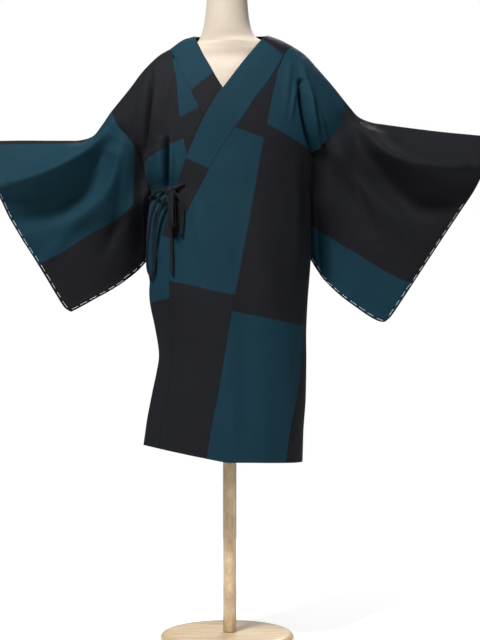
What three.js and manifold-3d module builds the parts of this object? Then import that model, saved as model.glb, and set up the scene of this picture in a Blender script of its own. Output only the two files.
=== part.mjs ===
// A kimono coat on a limbless dress form. Millimetres, +Z up. The front faces -Y and +X is the
// wearer's left. The origin is the centre of the underside of the form's base.
//
// Each half of the coat is worked out in its own frame, where x grows from the centre towards
// that half's side, and is then mirrored into place. The left half laps over the right one.
import * as THREE from 'three';
import { mergeVertices } from 'three/addons/utils/BufferGeometryUtils.js';
import Module from 'manifold-3d';

// Driving dimensions
const CLOTH_WALL = 2;
const COLLAR_WALL = 3;
const SEAM_GAP = 0.3;
const SEAM_INSET = 0.2; // of each piece's edge, so that bent walls stay clear of each other
const LAYER = 7; // from the middle of the under front to the middle of the over front
const YOKE_Z = 1100; // below it the body hangs as a tube, above it the cloth turns to the shoulder
const HEM_Z = 412;
const HEM_LIFT = 8; // the front hem rises from the wearer's left side to the flap
const HEM_SLOPE = 0.19;
const HEM_FADE = 300; // the lift fades out over this height
const UNDER_HEM_LIFT = 5;
const SLEEVE_DROP = 490;
const SLEEVE_PUFF = 6; // half the space between the two layers of a sleeve
const CUFF_PINCH = 2.4; // the same where the cuff edge is sewn shut
const ARMHOLE_Z = 1018; // the sleeve is sewn to the body down to here, and hangs free below
const SHOULDER_CLEARANCE = 0.9; // from the body's edge to the sleeve's, at the shoulder
const ARMHOLE_CLEARANCE = 1.8; // the same at the armhole's foot, where they meet at a corner
const NECK_BACK_Y = 100; // the collar's seam behind the neck
const NECK_BACK_Z = 1334;
const COLLAR_TOP_Y = 86; // the collar's free edge behind the neck
const COLLAR_TOP_Z = 1383;

const BODY_COLUMNS = 11;
const OKUMI_COLUMNS = 3;
const COLLAR_COLUMNS = 2;
const NECK_ROWS = 4;
const BACK_YOKE_ROWS = 4;
const SLEEVE_COLUMNS = [0, 0.05, 0.13, 0.22, 0.32, 0.42, 0.53, 0.64, 0.75, 0.86, 0.95, 1];
const SLEEVE_FREE_ROWS = [0.2, 0.4, 0.6, 0.8, 0.93, 0.98];

// Horizontal sections of the body: half widths to the wearer's left and right, the half width
// that the over flap hangs on, and the depths to the front and back.
const SECTIONS = [
  { z: 412, left: 168, right: 152, flap: 232, front: 130, back: 126 },
  { z: 482, left: 170, right: 150, flap: 206, front: 130, back: 124 },
  { z: 550, left: 175, right: 149, flap: 184, front: 130, back: 123 },
  { z: 643, left: 177, right: 147, flap: 162, front: 130, back: 122 },
  { z: 706, left: 177, right: 154, flap: 170, front: 130, back: 121 },
  { z: 772, left: 180, right: 165, flap: 185, front: 129, back: 120 },
  { z: 851, left: 186, right: 178, flap: 192, front: 127, back: 117 },
  { z: 900, left: 187, right: 180, flap: 193, front: 126, back: 114 },
  { z: 970, left: 187, right: 175, flap: 186, front: 121, back: 110 },
  { z: 1012, left: 188, right: 167, flap: 178, front: 118, back: 108 },
  { z: 1045, left: 192, right: 182, flap: 188, front: 117, back: 109 },
  { z: 1100, left: 205, right: 203, flap: 204, front: 113, back: 112 },
];

// The edges of the openings at the sides, as angles round the section from the front. Below
// z 944 the front and the back are sewn together, and the seam moves forward to the hem.
const SIDES = [
  { z: 412, front: 50, back: 50 },
  { z: 530, front: 58, back: 58 },
  { z: 617, front: 67, back: 67 },
  { z: 712, front: 76, back: 76 },
  { z: 865, front: 88, back: 88 },
  { z: 944, front: 90, back: 90 },
  { z: 977, front: 88, back: 92 },
  { z: 1018, front: 85, back: 97 },
  { z: 1057, front: 80, back: 101 },
  { z: 1100, front: 74, back: 106 },
];

// The shoulder's ridge line, seen from the front.
const RIDGE = [
  { x: -300, z: 1140 }, { x: -273, z: 1176 }, { x: -244, z: 1212 }, { x: -215, z: 1248 },
  { x: -188, z: 1284 }, { x: -152, z: 1319 }, { x: -121, z: 1337 }, { x: -96, z: 1355 },
  { x: -72, z: 1362 }, { x: 10, z: 1370 }, { x: 89, z: 1364 }, { x: 114, z: 1355 },
  { x: 148, z: 1337 }, { x: 175, z: 1319 }, { x: 208, z: 1284 }, { x: 240, z: 1248 },
  { x: 269, z: 1212 }, { x: 298, z: 1178 },
];

// The fronts, a row for each height: the seam from body to okumi, the seam from okumi to
// collar, the collar's free edge, and how much higher than the seam that edge lies.
const LEFT_FRONT = [
  { z: 412, okumi: -43, seam: -148, edge: -182, rise: 0 },
  { z: 446, okumi: -38, seam: -144, edge: -178, rise: 0 },
  { z: 482, okumi: -33, seam: -140, edge: -174, rise: 0 },
  { z: 550, okumi: -20, seam: -129, edge: -163, rise: 0 },
  { z: 600, okumi: -12, seam: -123, edge: -154, rise: 0 },
  { z: 643, okumi: -5, seam: -120, edge: -149, rise: 0 },
  { z: 706, okumi: 5, seam: -121, edge: -157, rise: 0 },
  { z: 772, okumi: 16, seam: -124, edge: -170, rise: 0 },
  { z: 820, okumi: 26, seam: -125, edge: -168, rise: 0 },
  { z: 865, okumi: 34, seam: -122, edge: -154, rise: 0 },
  { z: 906, okumi: 42, seam: -110, edge: -143, rise: 2 },
  { z: 944, okumi: 49, seam: -94, edge: -131, rise: 4 },
  { z: 977, okumi: 55, seam: -79, edge: -121, rise: 6 },
  { z: 1018, okumi: 62, seam: -58, edge: -107, rise: 10 },
  { z: 1057, okumi: 69, seam: -38, edge: -92, rise: 14 },
  { z: 1100, okumi: 76, seam: -13, edge: -72, rise: 20 },
  { z: 1137, okumi: 84, seam: 12, edge: -49, rise: 32 },
  { z: 1163, okumi: 89, seam: 31, edge: -27, rise: 46 },
  { z: 1209, okumi: 98, seam: 60, edge: -2, rise: 34 },
  { z: 1251, okumi: 107, seam: 91, edge: 29, rise: 35 },
  { z: 1275, okumi: 112, seam: 105, edge: 49, rise: 38 },
  { z: 1292, okumi: 119, seam: 115, edge: 62, rise: 38 },
  { z: 1312, okumi: 126, seam: 124, edge: 73, rise: 33 },
  { z: 1330, seam: 136, edge: 83, rise: 27 },
  { z: 1340, seam: 146, edge: 90, rise: 24 },
];
const RIGHT_FRONT = [
  { z: 412, okumi: -41, seam: -88, edge: -134, rise: 0 },
  { z: 446, okumi: -35, seam: -89, edge: -136, rise: 0 },
  { z: 482, okumi: -30, seam: -90, edge: -138, rise: 0 },
  { z: 550, okumi: -17, seam: -92, edge: -141, rise: 0 },
  { z: 600, okumi: -9, seam: -92, edge: -142, rise: 0 },
  { z: 643, okumi: -3, seam: -92, edge: -142, rise: 0 },
  { z: 706, okumi: 9, seam: -91, edge: -143, rise: 0 },
  { z: 772, okumi: 22, seam: -87, edge: -143, rise: 0 },
  { z: 820, okumi: 31, seam: -82, edge: -142, rise: 0 },
  { z: 865, okumi: 39, seam: -76, edge: -138, rise: 0 },
  { z: 906, okumi: 47, seam: -68, edge: -130, rise: 2 },
  { z: 944, okumi: 55, seam: -57, edge: -120, rise: 4 },
  { z: 977, okumi: 62, seam: -45, edge: -108, rise: 6 },
  { z: 1018, okumi: 71, seam: -28, edge: -92, rise: 10 },
  { z: 1057, okumi: 80, seam: -8, edge: -74, rise: 14 },
  { z: 1100, okumi: 89, seam: 16, edge: -51, rise: 22 },
  { z: 1134, okumi: 95, seam: 32, edge: -33, rise: 30 },
  { z: 1163, okumi: 101, seam: 46, edge: -16, rise: 33 },
  { z: 1193, okumi: 105, seam: 60, edge: 3, rise: 34 },
  { z: 1230, okumi: 108, seam: 78, edge: 22, rise: 28 },
  { z: 1262, okumi: 111, seam: 94, edge: 38, rise: 26 },
  { z: 1290, okumi: 117, seam: 107, edge: 52, rise: 23 },
  { z: 1308, okumi: 119, seam: 115, edge: 60, rise: 23 },
  { z: 1322, seam: 121, edge: 67, rise: 25 },
  { z: 1334, seam: 126, edge: 72, rise: 28 },
];

// The edges of a sleeve, each from the body outwards or from the top down. The armhole rows
// lie between the shoulder and the body's section at the yoke.
const LEFT_SLEEVE = {
  shoulder: { x: 264, y: 0, z: 1216 },
  armholeFront: [{ x: 259, y: -20, z: 1182 }, { x: 246, y: -38, z: 1148 }, { x: 218, y: -42, z: 1124 }],
  armholeBack: [{ x: 260, y: 22, z: 1184 }, { x: 246, y: 40, z: 1150 }, { x: 220, y: 42, z: 1124 }],
  freeFront: [{ x: 188, y: 12, z: 985 }, { x: 182, y: 38, z: 958 }, { x: 172, y: 62, z: 932 }],
  freeBack: [{ x: 181, y: 40, z: 985 }, { x: 178, y: 62, z: 955 }, { x: 172, y: 82, z: 930 }],
  inner: { x: 164, y: 84, z: 912 },
  top: [
    { x: 282, y: 2, z: 1195 }, { x: 298, y: 6, z: 1180 }, { x: 316, y: 10, z: 1173 },
    { x: 345, y: 14, z: 1168 }, { x: 400, y: 19, z: 1161 }, { x: 480, y: 25, z: 1152 },
  ],
  tip: { x: 588, y: 28, z: 1142 },
  cuffFront: [
    { x: 582, y: 0, z: 1100 }, { x: 572, y: -22, z: 1066 }, { x: 560, y: -20, z: 1033 },
    { x: 540, y: -12, z: 997 }, { x: 515, y: -8, z: 961 }, { x: 444, y: -4, z: 853 },
    { x: 386, y: -2, z: 764 }, { x: 372, y: 0, z: 744 }, { x: 362, y: 0, z: 730 },
  ],
  cuffBack: [
    { x: 582, y: 29, z: 1100 }, { x: 574, y: 28, z: 1066 }, { x: 560, y: 24, z: 1033 },
    { x: 540, y: 16, z: 997 }, { x: 515, y: 8, z: 961 }, { x: 444, y: -2, z: 853 },
    { x: 386, y: -2, z: 764 }, { x: 372, y: 0, z: 744 }, { x: 362, y: 0, z: 730 },
  ],
  corner: { x: 352, y: 0, z: 724 },
  bottom: [
    { x: 190, y: 56, z: 866 }, { x: 218, y: 32, z: 822 }, { x: 255, y: 14, z: 784 },
    { x: 305, y: 5, z: 747 }, { x: 332, y: 1, z: 729 },
  ],
};
const RIGHT_SLEEVE = {
  shoulder: { x: 258, y: 0, z: 1195 },
  armholeFront: [{ x: 250, y: -18, z: 1176 }, { x: 238, y: -34, z: 1154 }, { x: 218, y: -40, z: 1132 }],
  armholeBack: [{ x: 252, y: 20, z: 1176 }, { x: 240, y: 36, z: 1152 }, { x: 219, y: 42, z: 1128 }],
  freeFront: [{ x: 174, y: 15, z: 988 }, { x: 171, y: 40, z: 955 }, { x: 165, y: 64, z: 925 }],
  freeBack: [{ x: 169, y: 40, z: 985 }, { x: 166, y: 62, z: 950 }, { x: 163, y: 84, z: 924 }],
  inner: { x: 160, y: 86, z: 900 },
  top: [
    { x: 273, y: 2, z: 1174 }, { x: 289, y: 6, z: 1152 }, { x: 304, y: 10, z: 1138 },
    { x: 325, y: 14, z: 1132 }, { x: 380, y: 19, z: 1131 }, { x: 460, y: 25, z: 1132 },
  ],
  tip: { x: 546, y: 28, z: 1131 },
  cuffFront: [
    { x: 536, y: 0, z: 1080 }, { x: 522, y: -22, z: 1040 }, { x: 509, y: -24, z: 1012 },
    { x: 497, y: -16, z: 979 }, { x: 479, y: -10, z: 943 }, { x: 423, y: -4, z: 853 },
    { x: 383, y: -2, z: 786 }, { x: 370, y: 0, z: 764 }, { x: 360, y: 0, z: 752 },
  ],
  cuffBack: [
    { x: 536, y: 29, z: 1080 }, { x: 524, y: 28, z: 1040 }, { x: 510, y: 24, z: 1012 },
    { x: 497, y: 16, z: 979 }, { x: 479, y: 8, z: 943 }, { x: 423, y: -2, z: 853 },
    { x: 383, y: -2, z: 786 }, { x: 370, y: 0, z: 764 }, { x: 360, y: 0, z: 752 },
  ],
  corner: { x: 350, y: 0, z: 747 },
  bottom: [
    { x: 188, y: 58, z: 858 }, { x: 208, y: 42, z: 836 }, { x: 255, y: 18, z: 800 },
    { x: 290, y: 8, z: 780 }, { x: 330, y: 2, z: 757 },
  ],
};

// The large folds, each a soft ridge (height above 0) or trough along a line from its first
// to its last place through a middle one, in its half's own frame.
const FOLDS = [
  { half: 'left', face: 'front', from: [294, 1184], by: [350, 1038], to: [555, 1069], wide: 26, high: 32 },
  { half: 'left', face: 'front', from: [262, 1150], by: [374, 945], to: [535, 1012], wide: 32, high: -23 },
  { half: 'left', face: 'front', from: [240, 1072], by: [280, 1002], to: [340, 900], wide: 20, high: -9 },
  { half: 'left', face: 'front', from: [225, 1110], by: [330, 1000], to: [430, 900], wide: 24, high: 8 },
  { half: 'left', face: 'front', from: [163, 1250], by: [168, 1165], to: [195, 1098], wide: 7, high: -17 },
  { half: 'left', face: 'front', from: [180, 1243], by: [187, 1180], to: [205, 1110], wide: 10, high: 9 },
  { half: 'left', face: 'front', from: [60, 960], by: [110, 800], to: [120, 560], wide: 26, high: 5 },
  { half: 'left', face: 'front', from: [20, 900], by: [50, 700], to: [40, 480], wide: 24, high: -5 },
  { half: 'left', face: 'back', from: [250, 1150], by: [300, 1000], to: [420, 900], wide: 30, high: 10 },
  { half: 'left', face: 'back', from: [60, 1250], by: [90, 1100], to: [110, 900], wide: 26, high: -7 },
  { half: 'left', face: 'back', from: [80, 900], by: [70, 700], to: [95, 460], wide: 28, high: 8 },
  { half: 'left', face: 'back', from: [330, 1120], by: [380, 1000], to: [400, 850], wide: 24, high: -7 },
  { half: 'right', face: 'front', from: [268, 1166], by: [329, 1062], to: [500, 1024], wide: 26, high: 32 },
  { half: 'right', face: 'front', from: [253, 1110], by: [302, 985], to: [464, 955], wide: 31, high: -23 },
  { half: 'right', face: 'front', from: [222, 1112], by: [276, 965], to: [374, 936], wide: 20, high: 11 },
  { half: 'right', face: 'front', from: [206, 1060], by: [226, 980], to: [276, 880], wide: 16, high: -9 },
  { half: 'right', face: 'front', from: [166, 1250], by: [172, 1195], to: [184, 1110], wide: 9, high: -11 },
  { half: 'right', face: 'front', from: [150, 1240], by: [152, 1170], to: [160, 1080], wide: 10, high: 6 },
  { half: 'right', face: 'front', from: [150, 1118], by: [155, 1068], to: [146, 1026], wide: 12, high: 8 },
  { half: 'right', face: 'back', from: [250, 1130], by: [300, 990], to: [400, 880], wide: 30, high: 10 },
  { half: 'right', face: 'back', from: [50, 1240], by: [80, 1100], to: [105, 920], wide: 26, high: -7 },
  { half: 'right', face: 'back', from: [85, 880], by: [90, 700], to: [75, 470], wide: 28, high: 8 },
  { half: 'right', face: 'back', from: [330, 1100], by: [370, 980], to: [390, 860], wide: 24, high: -7 },
];

// The tie, as places seen from the front with a distance out from the over front's cloth.
const TIE = {
  knot: { x: -118, z: 1008, out: 14, halfWidth: 13, halfHeight: 11, halfDepth: 9 },
  lead: [
    { x: -90, z: 1024, out: 4.4 }, { x: -97, z: 1022, out: 5.2 }, { x: -106, z: 1017, out: 9 },
    { x: -117, z: 1010, out: 13 },
  ],
  waist: [
    { angle: -81, z: 999, out: 7 }, { angle: -74, z: 1002, out: 7 },
    { angle: -66, z: 1005, out: 9 }, { angle: -58, z: 1008, out: 17 }, { angle: -50, z: 1010, out: 26 },
    { angle: -43, z: 1010, out: 25 },
  ],
  loopLong: [
    { x: -122, z: 1011, out: 13 }, { x: -143, z: 995, out: 9 }, { x: -159, z: 963, out: 7 },
    { x: -167, z: 915, out: 7 }, { x: -170, z: 870, out: 7 }, { x: -168, z: 838, out: 7 },
    { x: -161, z: 825, out: 7 }, { x: -155, z: 837, out: 7 }, { x: -153, z: 870, out: 7 },
    { x: -153, z: 915, out: 7 }, { x: -147, z: 952, out: 7 }, { x: -139, z: 977, out: 7 },
    { x: -127, z: 996, out: 10 },
  ],
  loopShort: [
    { x: -113, z: 1006, out: 15 }, { x: -111, z: 992, out: 16 }, { x: -110, z: 960, out: 16 },
    { x: -109, z: 938, out: 17 }, { x: -109, z: 931, out: 22 }, { x: -109, z: 938, out: 27 },
    { x: -110, z: 960, out: 27 }, { x: -111, z: 992, out: 23 }, { x: -113, z: 1006, out: 19 },
  ],
  tailShort: [
    { x: -110, z: 1005, out: 12 }, { x: -100, z: 993, out: 8 }, { x: -94, z: 972, out: 6 },
    { x: -93, z: 950, out: 6 }, { x: -95, z: 926, out: 6 }, { x: -96, z: 910, out: 6 },
  ],
  tailLong: [
    { x: -118, z: 1003, out: 9 }, { x: -118, z: 985, out: 6 }, { x: -118, z: 950, out: 6 },
    { x: -118, z: 915, out: 6 }, { x: -117, z: 880, out: 6 }, { x: -116, z: 850, out: 6 },
    { x: -116, z: 830, out: 6 },
  ],
  cord: { halfWidth: 4, halfDepth: 2.5 },
  band: { halfWidth: 9, halfDepth: 2 },
};

// The dress form: its sections, from the bottom up, stay inside the cloth but for the stretch
// of the shoulders that carries it.
const FORM_SECTIONS = [
  { z: 640, wide: 60, deep: 50 },
  { z: 643, wide: 96, deep: 78 },
  { z: 655, wide: 112, deep: 88 },
  { z: 700, wide: 122, deep: 94 },
  { z: 780, wide: 132, deep: 97 },
  { z: 860, wide: 138, deep: 94 },
  { z: 940, wide: 132, deep: 86 },
  { z: 1010, wide: 126, deep: 82 },
  { z: 1080, wide: 132, deep: 86 },
  { z: 1150, wide: 138, deep: 88 },
  { z: 1220, wide: 143, deep: 80 },
  { z: 1280, wide: 146, deep: 64 },
  { z: 1310, wide: 146, deep: 50 },
];
const SHOULDER_SECTIONS = [
  { x: 139, deep: 34, under: 2.2 }, { x: 126, deep: 36, under: 7 }, { x: 112, deep: 40, under: 10 },
  { x: 98, deep: 44, under: 12 }, { x: 84, deep: 46, under: 14 },
];
const NECK_SECTIONS = [
  { z: 1357, wide: 66, deep: 47, mid: 4 },
  { z: 1374, wide: 56, deep: 48, mid: 1 },
  { z: 1400, wide: 50, deep: 48, mid: 0 },
  { z: 1440, wide: 46, deep: 46, mid: 0 },
  { z: 1466, wide: 45, deep: 45, mid: 0 },
  { z: 1475, wide: 41, deep: 41, mid: 0 },
  { z: 1479, wide: 30, deep: 30, mid: 0 },
];
const SHOULDER_FULL = 49; // the shoulders' depth at their middle, under the neck
const FORM_SEGMENTS = 24;
const FORM_MID = 6; // the middle of the form's body, to the wearer's left of the neck
const SHOULDER_MID = 14; // the same for its shoulders
const POLE_RADIUS = 15;
const BASE_RADIUS = 150;
const BASE_HEIGHT = 30;
const FORM_BOTTOM_Z = 640;

const COLOURS = {
  teal: { color: 0x22425a, roughness: 0.8, metalness: 0 },
  black: { color: 0x25262b, roughness: 0.85, metalness: 0 },
  ivory: { color: 0xdccfbc, roughness: 0.75, metalness: 0 },
  wood: { color: 0xb4a07d, roughness: 0.5, metalness: 0 },
};

const wasm = await Module();
wasm.setup();

const radians = THREE.MathUtils.degToRad;
const mix = THREE.MathUtils.lerp;
const vec = (x, y, z) => new THREE.Vector3(x, y, z);
const toVec = ({ x, y, z }) => vec(x, y, z);

// A smooth function through one column of a table, by its key column.
function column(rows, key, name) {
  const slope = (i) => {
    const low = rows[Math.max(i - 1, 0)];
    const high = rows[Math.min(i + 1, rows.length - 1)];
    return (high[name] - low[name]) / (high[key] - low[key]);
  };
  return (at) => {
    let i = 0;
    while (i < rows.length - 2 && at > rows[i + 1][key]) i += 1;
    const span = rows[i + 1][key] - rows[i][key];
    const t = THREE.MathUtils.clamp((at - rows[i][key]) / span, 0, 1);
    const start = rows[i][name] * (1 + 2 * t) + slope(i) * span * t;
    const end = rows[i + 1][name] * (3 - 2 * t) + slope(i + 1) * span * (t - 1);
    return start * (1 - t) ** 2 + end * t * t;
  };
}

const section = Object.fromEntries(
  ['left', 'right', 'flap', 'front', 'back'].map((name) => [name, column(SECTIONS, 'z', name)]),
);
const sideFront = column(SIDES, 'z', 'front');
const sideBack = column(SIDES, 'z', 'back');
const ridgeHeight = column(RIDGE, 'x', 'z');

// What differs between the halves of the coat.
const HALVES = {
  left: {
    sign: 1,
    rows: LEFT_FRONT,
    sleeve: LEFT_SLEEVE,
    own: section.left,
    other: section.flap,
    front: section.front,
    hemLift: 0,
  },
  right: {
    sign: -1,
    rows: RIGHT_FRONT,
    sleeve: RIGHT_SLEEVE,
    own: section.right,
    other: (z) => section.left(z) - LAYER,
    front: (z) => section.front(z) - LAYER,
    hemLift: UNDER_HEM_LIFT,
  },
};

// A place on the body's section, at an angle from the front towards the half's own side.
function onSection(half, z, degrees) {
  const wide = degrees >= 0 ? half.own(z) : half.other(z);
  const deep = Math.abs(degrees) <= 90 ? half.front(z) : section.back(z);
  const x = wide * Math.sin(radians(degrees));
  const y = -deep * Math.cos(radians(degrees));
  return vec(x, y, liftedHem(half, x, z));
}

// The hem isn't level, so the rows near it are lifted by less and less upwards.
function liftedHem(half, x, z) {
  const fade = Math.max(0, 1 - (z - HEM_Z) / HEM_FADE);
  const across = x * half.sign;
  const left = 1 - (Math.max(0, across) / section.left(HEM_Z)) ** 2;
  const lift = HEM_LIFT * left + HEM_SLOPE * Math.max(0, -across) + half.hemLift;
  return z + lift * fade;
}

function angleAt(half, z, x) {
  const wide = x >= 0 ? half.own(z) : half.other(z);
  return THREE.MathUtils.radToDeg(Math.asin(THREE.MathUtils.clamp(x / wide, -1, 1)));
}

// A place on the half's front cloth, given as it is seen from the front.
function onFront(half, x, z) {
  if (z <= YOKE_Z) return onSection(half, z, angleAt(half, z, x));
  const foot = onSection(half, YOKE_Z, angleAt(half, YOKE_Z, x));
  const rise = Math.min(1, (z - YOKE_Z) / (ridgeHeight(x * half.sign) - YOKE_Z));
  return vec(x, foot.y * Math.sqrt(1 - rise * rise), z);
}

// The distance from a place to a fold's line, and how far along the line it is, both as seen
// from the front.
function alongFold(fold, x, z) {
  let best = { distance: Infinity, share: 0 };
  const steps = 12;
  for (let i = 0; i < steps; i += 1) {
    const [start, end] = [i / steps, (i + 1) / steps].map((t) => [0, 1].map((k) =>
      fold.from[k] * (1 - t) ** 2 + 2 * fold.by[k] * t * (1 - t) + fold.to[k] * t * t));
    const [dx, dz] = [end[0] - start[0], end[1] - start[1]];
    const raw = ((x - start[0]) * dx + (z - start[1]) * dz) / (dx * dx + dz * dz);
    const t = THREE.MathUtils.clamp(raw, 0, 1);
    const distance = Math.hypot(x - start[0] - t * dx, z - start[1] - t * dz);
    if (distance < best.distance) best = { distance, share: (i + t) / steps };
  }
  return best;
}

function foldHeight(name, face, x, z) {
  let height = 0;
  for (const fold of FOLDS) {
    if (fold.half !== name || fold.face !== face) continue;
    const { distance, share } = alongFold(fold, x, z);
    const taper = Math.sqrt(Math.sin(Math.PI * THREE.MathUtils.clamp(share, 0.04, 0.96)));
    height += fold.high * taper * Math.exp(-((distance / fold.wide) ** 2));
  }
  return height;
}

// Folds stand out towards the front or back, and slantwise near the body's sides.
function folded(name, face, place) {
  const reach = Math.min(Math.abs(place.x), 190) / 210;
  const slant = reach * reach * (1 - THREE.MathUtils.smoothstep(Math.abs(place.x), 195, 260));
  const out = vec(Math.sign(place.x) * slant, face === 'front' ? -1 : 1, 0).normalize();
  return place.clone().addScaledVector(out, foldHeight(name, face, place.x, place.z));
}

function foldGrid(name, face, grid) {
  return grid.map((row) => row.map((place) => folded(name, face, place)));
}

function inset(grid, first, last) {
  for (const row of grid) {
    const n = row.length - 1;
    const start = row[1].clone().sub(row[0]).setLength(first);
    const end = row[n - 1].clone().sub(row[n]).setLength(last);
    row[0].add(start);
    row[n].add(end);
  }
  return grid;
}

function mirrored(grid, sign) {
  return grid.map((row) => row.map((place) => vec(place.x * sign, place.y, place.z)));
}

// The rows of a half's body strip, from the front hem over the shoulder to the back hem. Each
// runs from the centre outwards.
function stripGrid(name) {
  const half = HALVES[name];
  const shares = Array.from({ length: BODY_COLUMNS + 1 }, (_, i) => i / BODY_COLUMNS);
  const row = (z, start, end) => shares.map((u) => onSection(half, z, mix(start, end, u)));
  const ridge = half.rows.at(-1);
  const tube = half.rows.filter(({ z }) => z <= YOKE_Z);
  const yoke = half.rows.filter(({ z }) => z > YOKE_Z);

  const front = tube.map(({ z, okumi }) => row(z, angleAt(half, z, okumi), sideFront(z)));
  const frontFoot = front.at(-1);
  const frontRail = armhole(half.sleeve.armholeFront, frontFoot.at(-1), half.sleeve.shoulder);
  for (const { z, okumi, seam } of yoke) {
    const rise = Math.min(1, (z - YOKE_Z) / (ridge.z - YOKE_Z));
    const angle = Math.asin(rise);
    const start = onFront(half, okumi ?? seam, z);
    if (z === ridge.z) start.set(seam, 0, z);
    const end = frontRail.getPointAt(angle / (Math.PI / 2));
    front.push(yokeRow(half, shares, frontFoot, start, end, angle));
  }

  const backFoot = row(YOKE_Z, 180, sideBack(YOKE_Z));
  const backRail = armhole(half.sleeve.armholeBack, backFoot.at(-1), half.sleeve.shoulder);
  const back = [];
  const count = NECK_ROWS + BACK_YOKE_ROWS;
  for (let i = 1; i < count; i += 1) {
    const share = 1 - i / count;
    const start = i <= NECK_ROWS
      ? neckSeam(ridge, i / NECK_ROWS)
      : centreBack((i - NECK_ROWS) / BACK_YOKE_ROWS);
    const end = backRail.getPointAt(share);
    back.push(yokeRow(half, shares, backFoot, start, end, share * Math.PI / 2));
  }
  back.push(backFoot);
  for (const { z } of tube.slice(0, -1).reverse()) back.push(row(z, 180, sideBack(z)));
  return { front: foldGrid(name, 'front', front), back: foldGrid(name, 'back', back) };
}

function armhole(rows, foot, shoulder) {
  const places = [foot, ...rows.map(toVec).reverse(), toVec(shoulder)];
  return new THREE.CatmullRomCurve3(places, false, 'centripetal');
}

// A row of the yoke, between its ends, bulging as the section below it and the ridge do.
function yokeRow(half, shares, foot, start, end, angle) {
  return shares.map((u, i) => {
    const place = start.clone().lerp(end, u);
    const chord = foot[0].clone().lerp(foot.at(-1), u);
    place.addScaledVector(foot[i].clone().sub(chord), Math.cos(angle));
    const crown = ridgeBulge(half, u);
    place.z += crown * Math.sin(angle);
    return place;
  });
}

function ridgeBulge(half, u) {
  const seam = half.rows.at(-1);
  const { shoulder } = half.sleeve;
  const height = ridgeHeight(mix(seam.seam, shoulder.x, u) * half.sign);
  return height - mix(ridgeHeight(seam.seam * half.sign), ridgeHeight(shoulder.x * half.sign), u);
}

// The neckline, from the ridge to the centre back, and the centre back below it.
function neckSeam(ridge, share) {
  const turn = share * Math.PI / 2;
  return vec(ridge.seam * Math.cos(turn), NECK_BACK_Y * Math.sin(turn), mix(ridge.z, NECK_BACK_Z, share));
}

function collarTop(ridge, share) {
  const turn = share * Math.PI / 2;
  const z = mix(ridge.z + ridge.rise, COLLAR_TOP_Z, share);
  return vec(ridge.edge * Math.cos(turn), COLLAR_TOP_Y * Math.sin(turn), z);
}

function centreBack(share) {
  return vec(0, mix(NECK_BACK_Y, section.back(YOKE_Z), share), mix(NECK_BACK_Z, YOKE_Z, share));
}

// The rows of a band of the front, between two columns of its table.
function bandGrid(name, rows, columns, startOf, endOf) {
  const half = HALVES[name];
  const grid = rows.map((row) => {
    const [start, end] = [startOf(row), endOf(row)];
    return Array.from({ length: columns + 1 }, (_, i) => {
      const u = i / columns;
      return onFront(half, mix(start.x, end.x, u), mix(start.z, end.z, u));
    });
  });
  return foldGrid(name, 'front', grid);
}

function okumiGrid(name) {
  const rows = HALVES[name].rows.filter(({ okumi }) => okumi !== undefined);
  const start = ({ seam, z }) => ({ x: seam, z });
  const end = ({ okumi, z }) => ({ x: okumi, z });
  return bandGrid(name, rows, OKUMI_COLUMNS, start, end);
}

function collarGrid(name) {
  const { rows } = HALVES[name];
  const start = ({ edge, z, rise }) => ({ x: edge, z: z + rise });
  const end = ({ seam, z }) => ({ x: seam, z });
  const grid = bandGrid(name, rows.slice(0, -1), COLLAR_COLUMNS, start, end);
  const ridge = rows.at(-1);
  for (let i = 0; i <= NECK_ROWS; i += 1) {
    const top = collarTop(ridge, i / NECK_ROWS);
    const seam = neckSeam(ridge, i / NECK_ROWS);
    const crown = (x) => ridgeHeight(x * HALVES[name].sign);
    grid.push(Array.from({ length: COLLAR_COLUMNS + 1 }, (_, k) => {
      const u = k / COLLAR_COLUMNS;
      const place = top.clone().lerp(seam, u);
      const bulge = crown(mix(ridge.edge, ridge.seam, u)) - mix(crown(ridge.edge), crown(ridge.seam), u);
      return place.setZ(place.z + bulge * (1 - i / NECK_ROWS));
    }));
  }
  return grid;
}

// A sleeve is one cloth, folded at the top and sewn at the bottom, so each of its rings runs
// from the top down the front and up the back.
function sleeveGrid(name, strip) {
  const { sleeve, sign } = HALVES[name];
  const curve = (...parts) => new THREE.CatmullRomCurve3(parts.flat().map(toVec), false, 'centripetal');
  const top = curve(sleeve.shoulder, sleeve.top, sleeve.tip);
  const bottom = curve(sleeve.inner, sleeve.bottom, sleeve.corner);
  const sides = ['front', 'back'].map((face) => {
    const sewn = sewnEdge(strip, face);
    const key = face === 'front' ? 'Front' : 'Back';
    const free = curve(sewn.at(-1).place, sleeve[`free${key}`], sleeve.inner);
    const cuff = curve(sleeve.tip, sleeve[`cuff${key}`], sleeve.corner);
    const shareSewn = sewn.at(-1).length / SLEEVE_DROP;
    const inner = [
      ...sewn.map(({ place, length }) => ({ place, q: length / SLEEVE_DROP })),
      ...SLEEVE_FREE_ROWS.map((t) => ({ place: free.getPointAt(t), q: mix(shareSewn, 1, t) })),
    ];
    return { face, inner, cuff, out: face === 'front' ? -1 : 1 };
  });
  return SLEEVE_COLUMNS.map((p) => {
    const [frontSide, backSide] = sides.map((side) => side.inner.map((start, i) => {
      const place = sleevePlace(p, start, side, top, bottom);
      const sewnShare = Math.min(1, i / side.inner.findIndex(({ q }) => q > 0.4));
      place.x += p === 0 ? mix(SHOULDER_CLEARANCE, ARMHOLE_CLEARANCE, sewnShare) : 0;
      return folded(name, side.face, place);
    }));
    return [...frontSide, bottom.getPointAt(p), ...backSide.slice(1).reverse()];
  }).map((ring) => ring.map((place) => vec(place.x * sign, place.y, place.z)));
}

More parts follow.
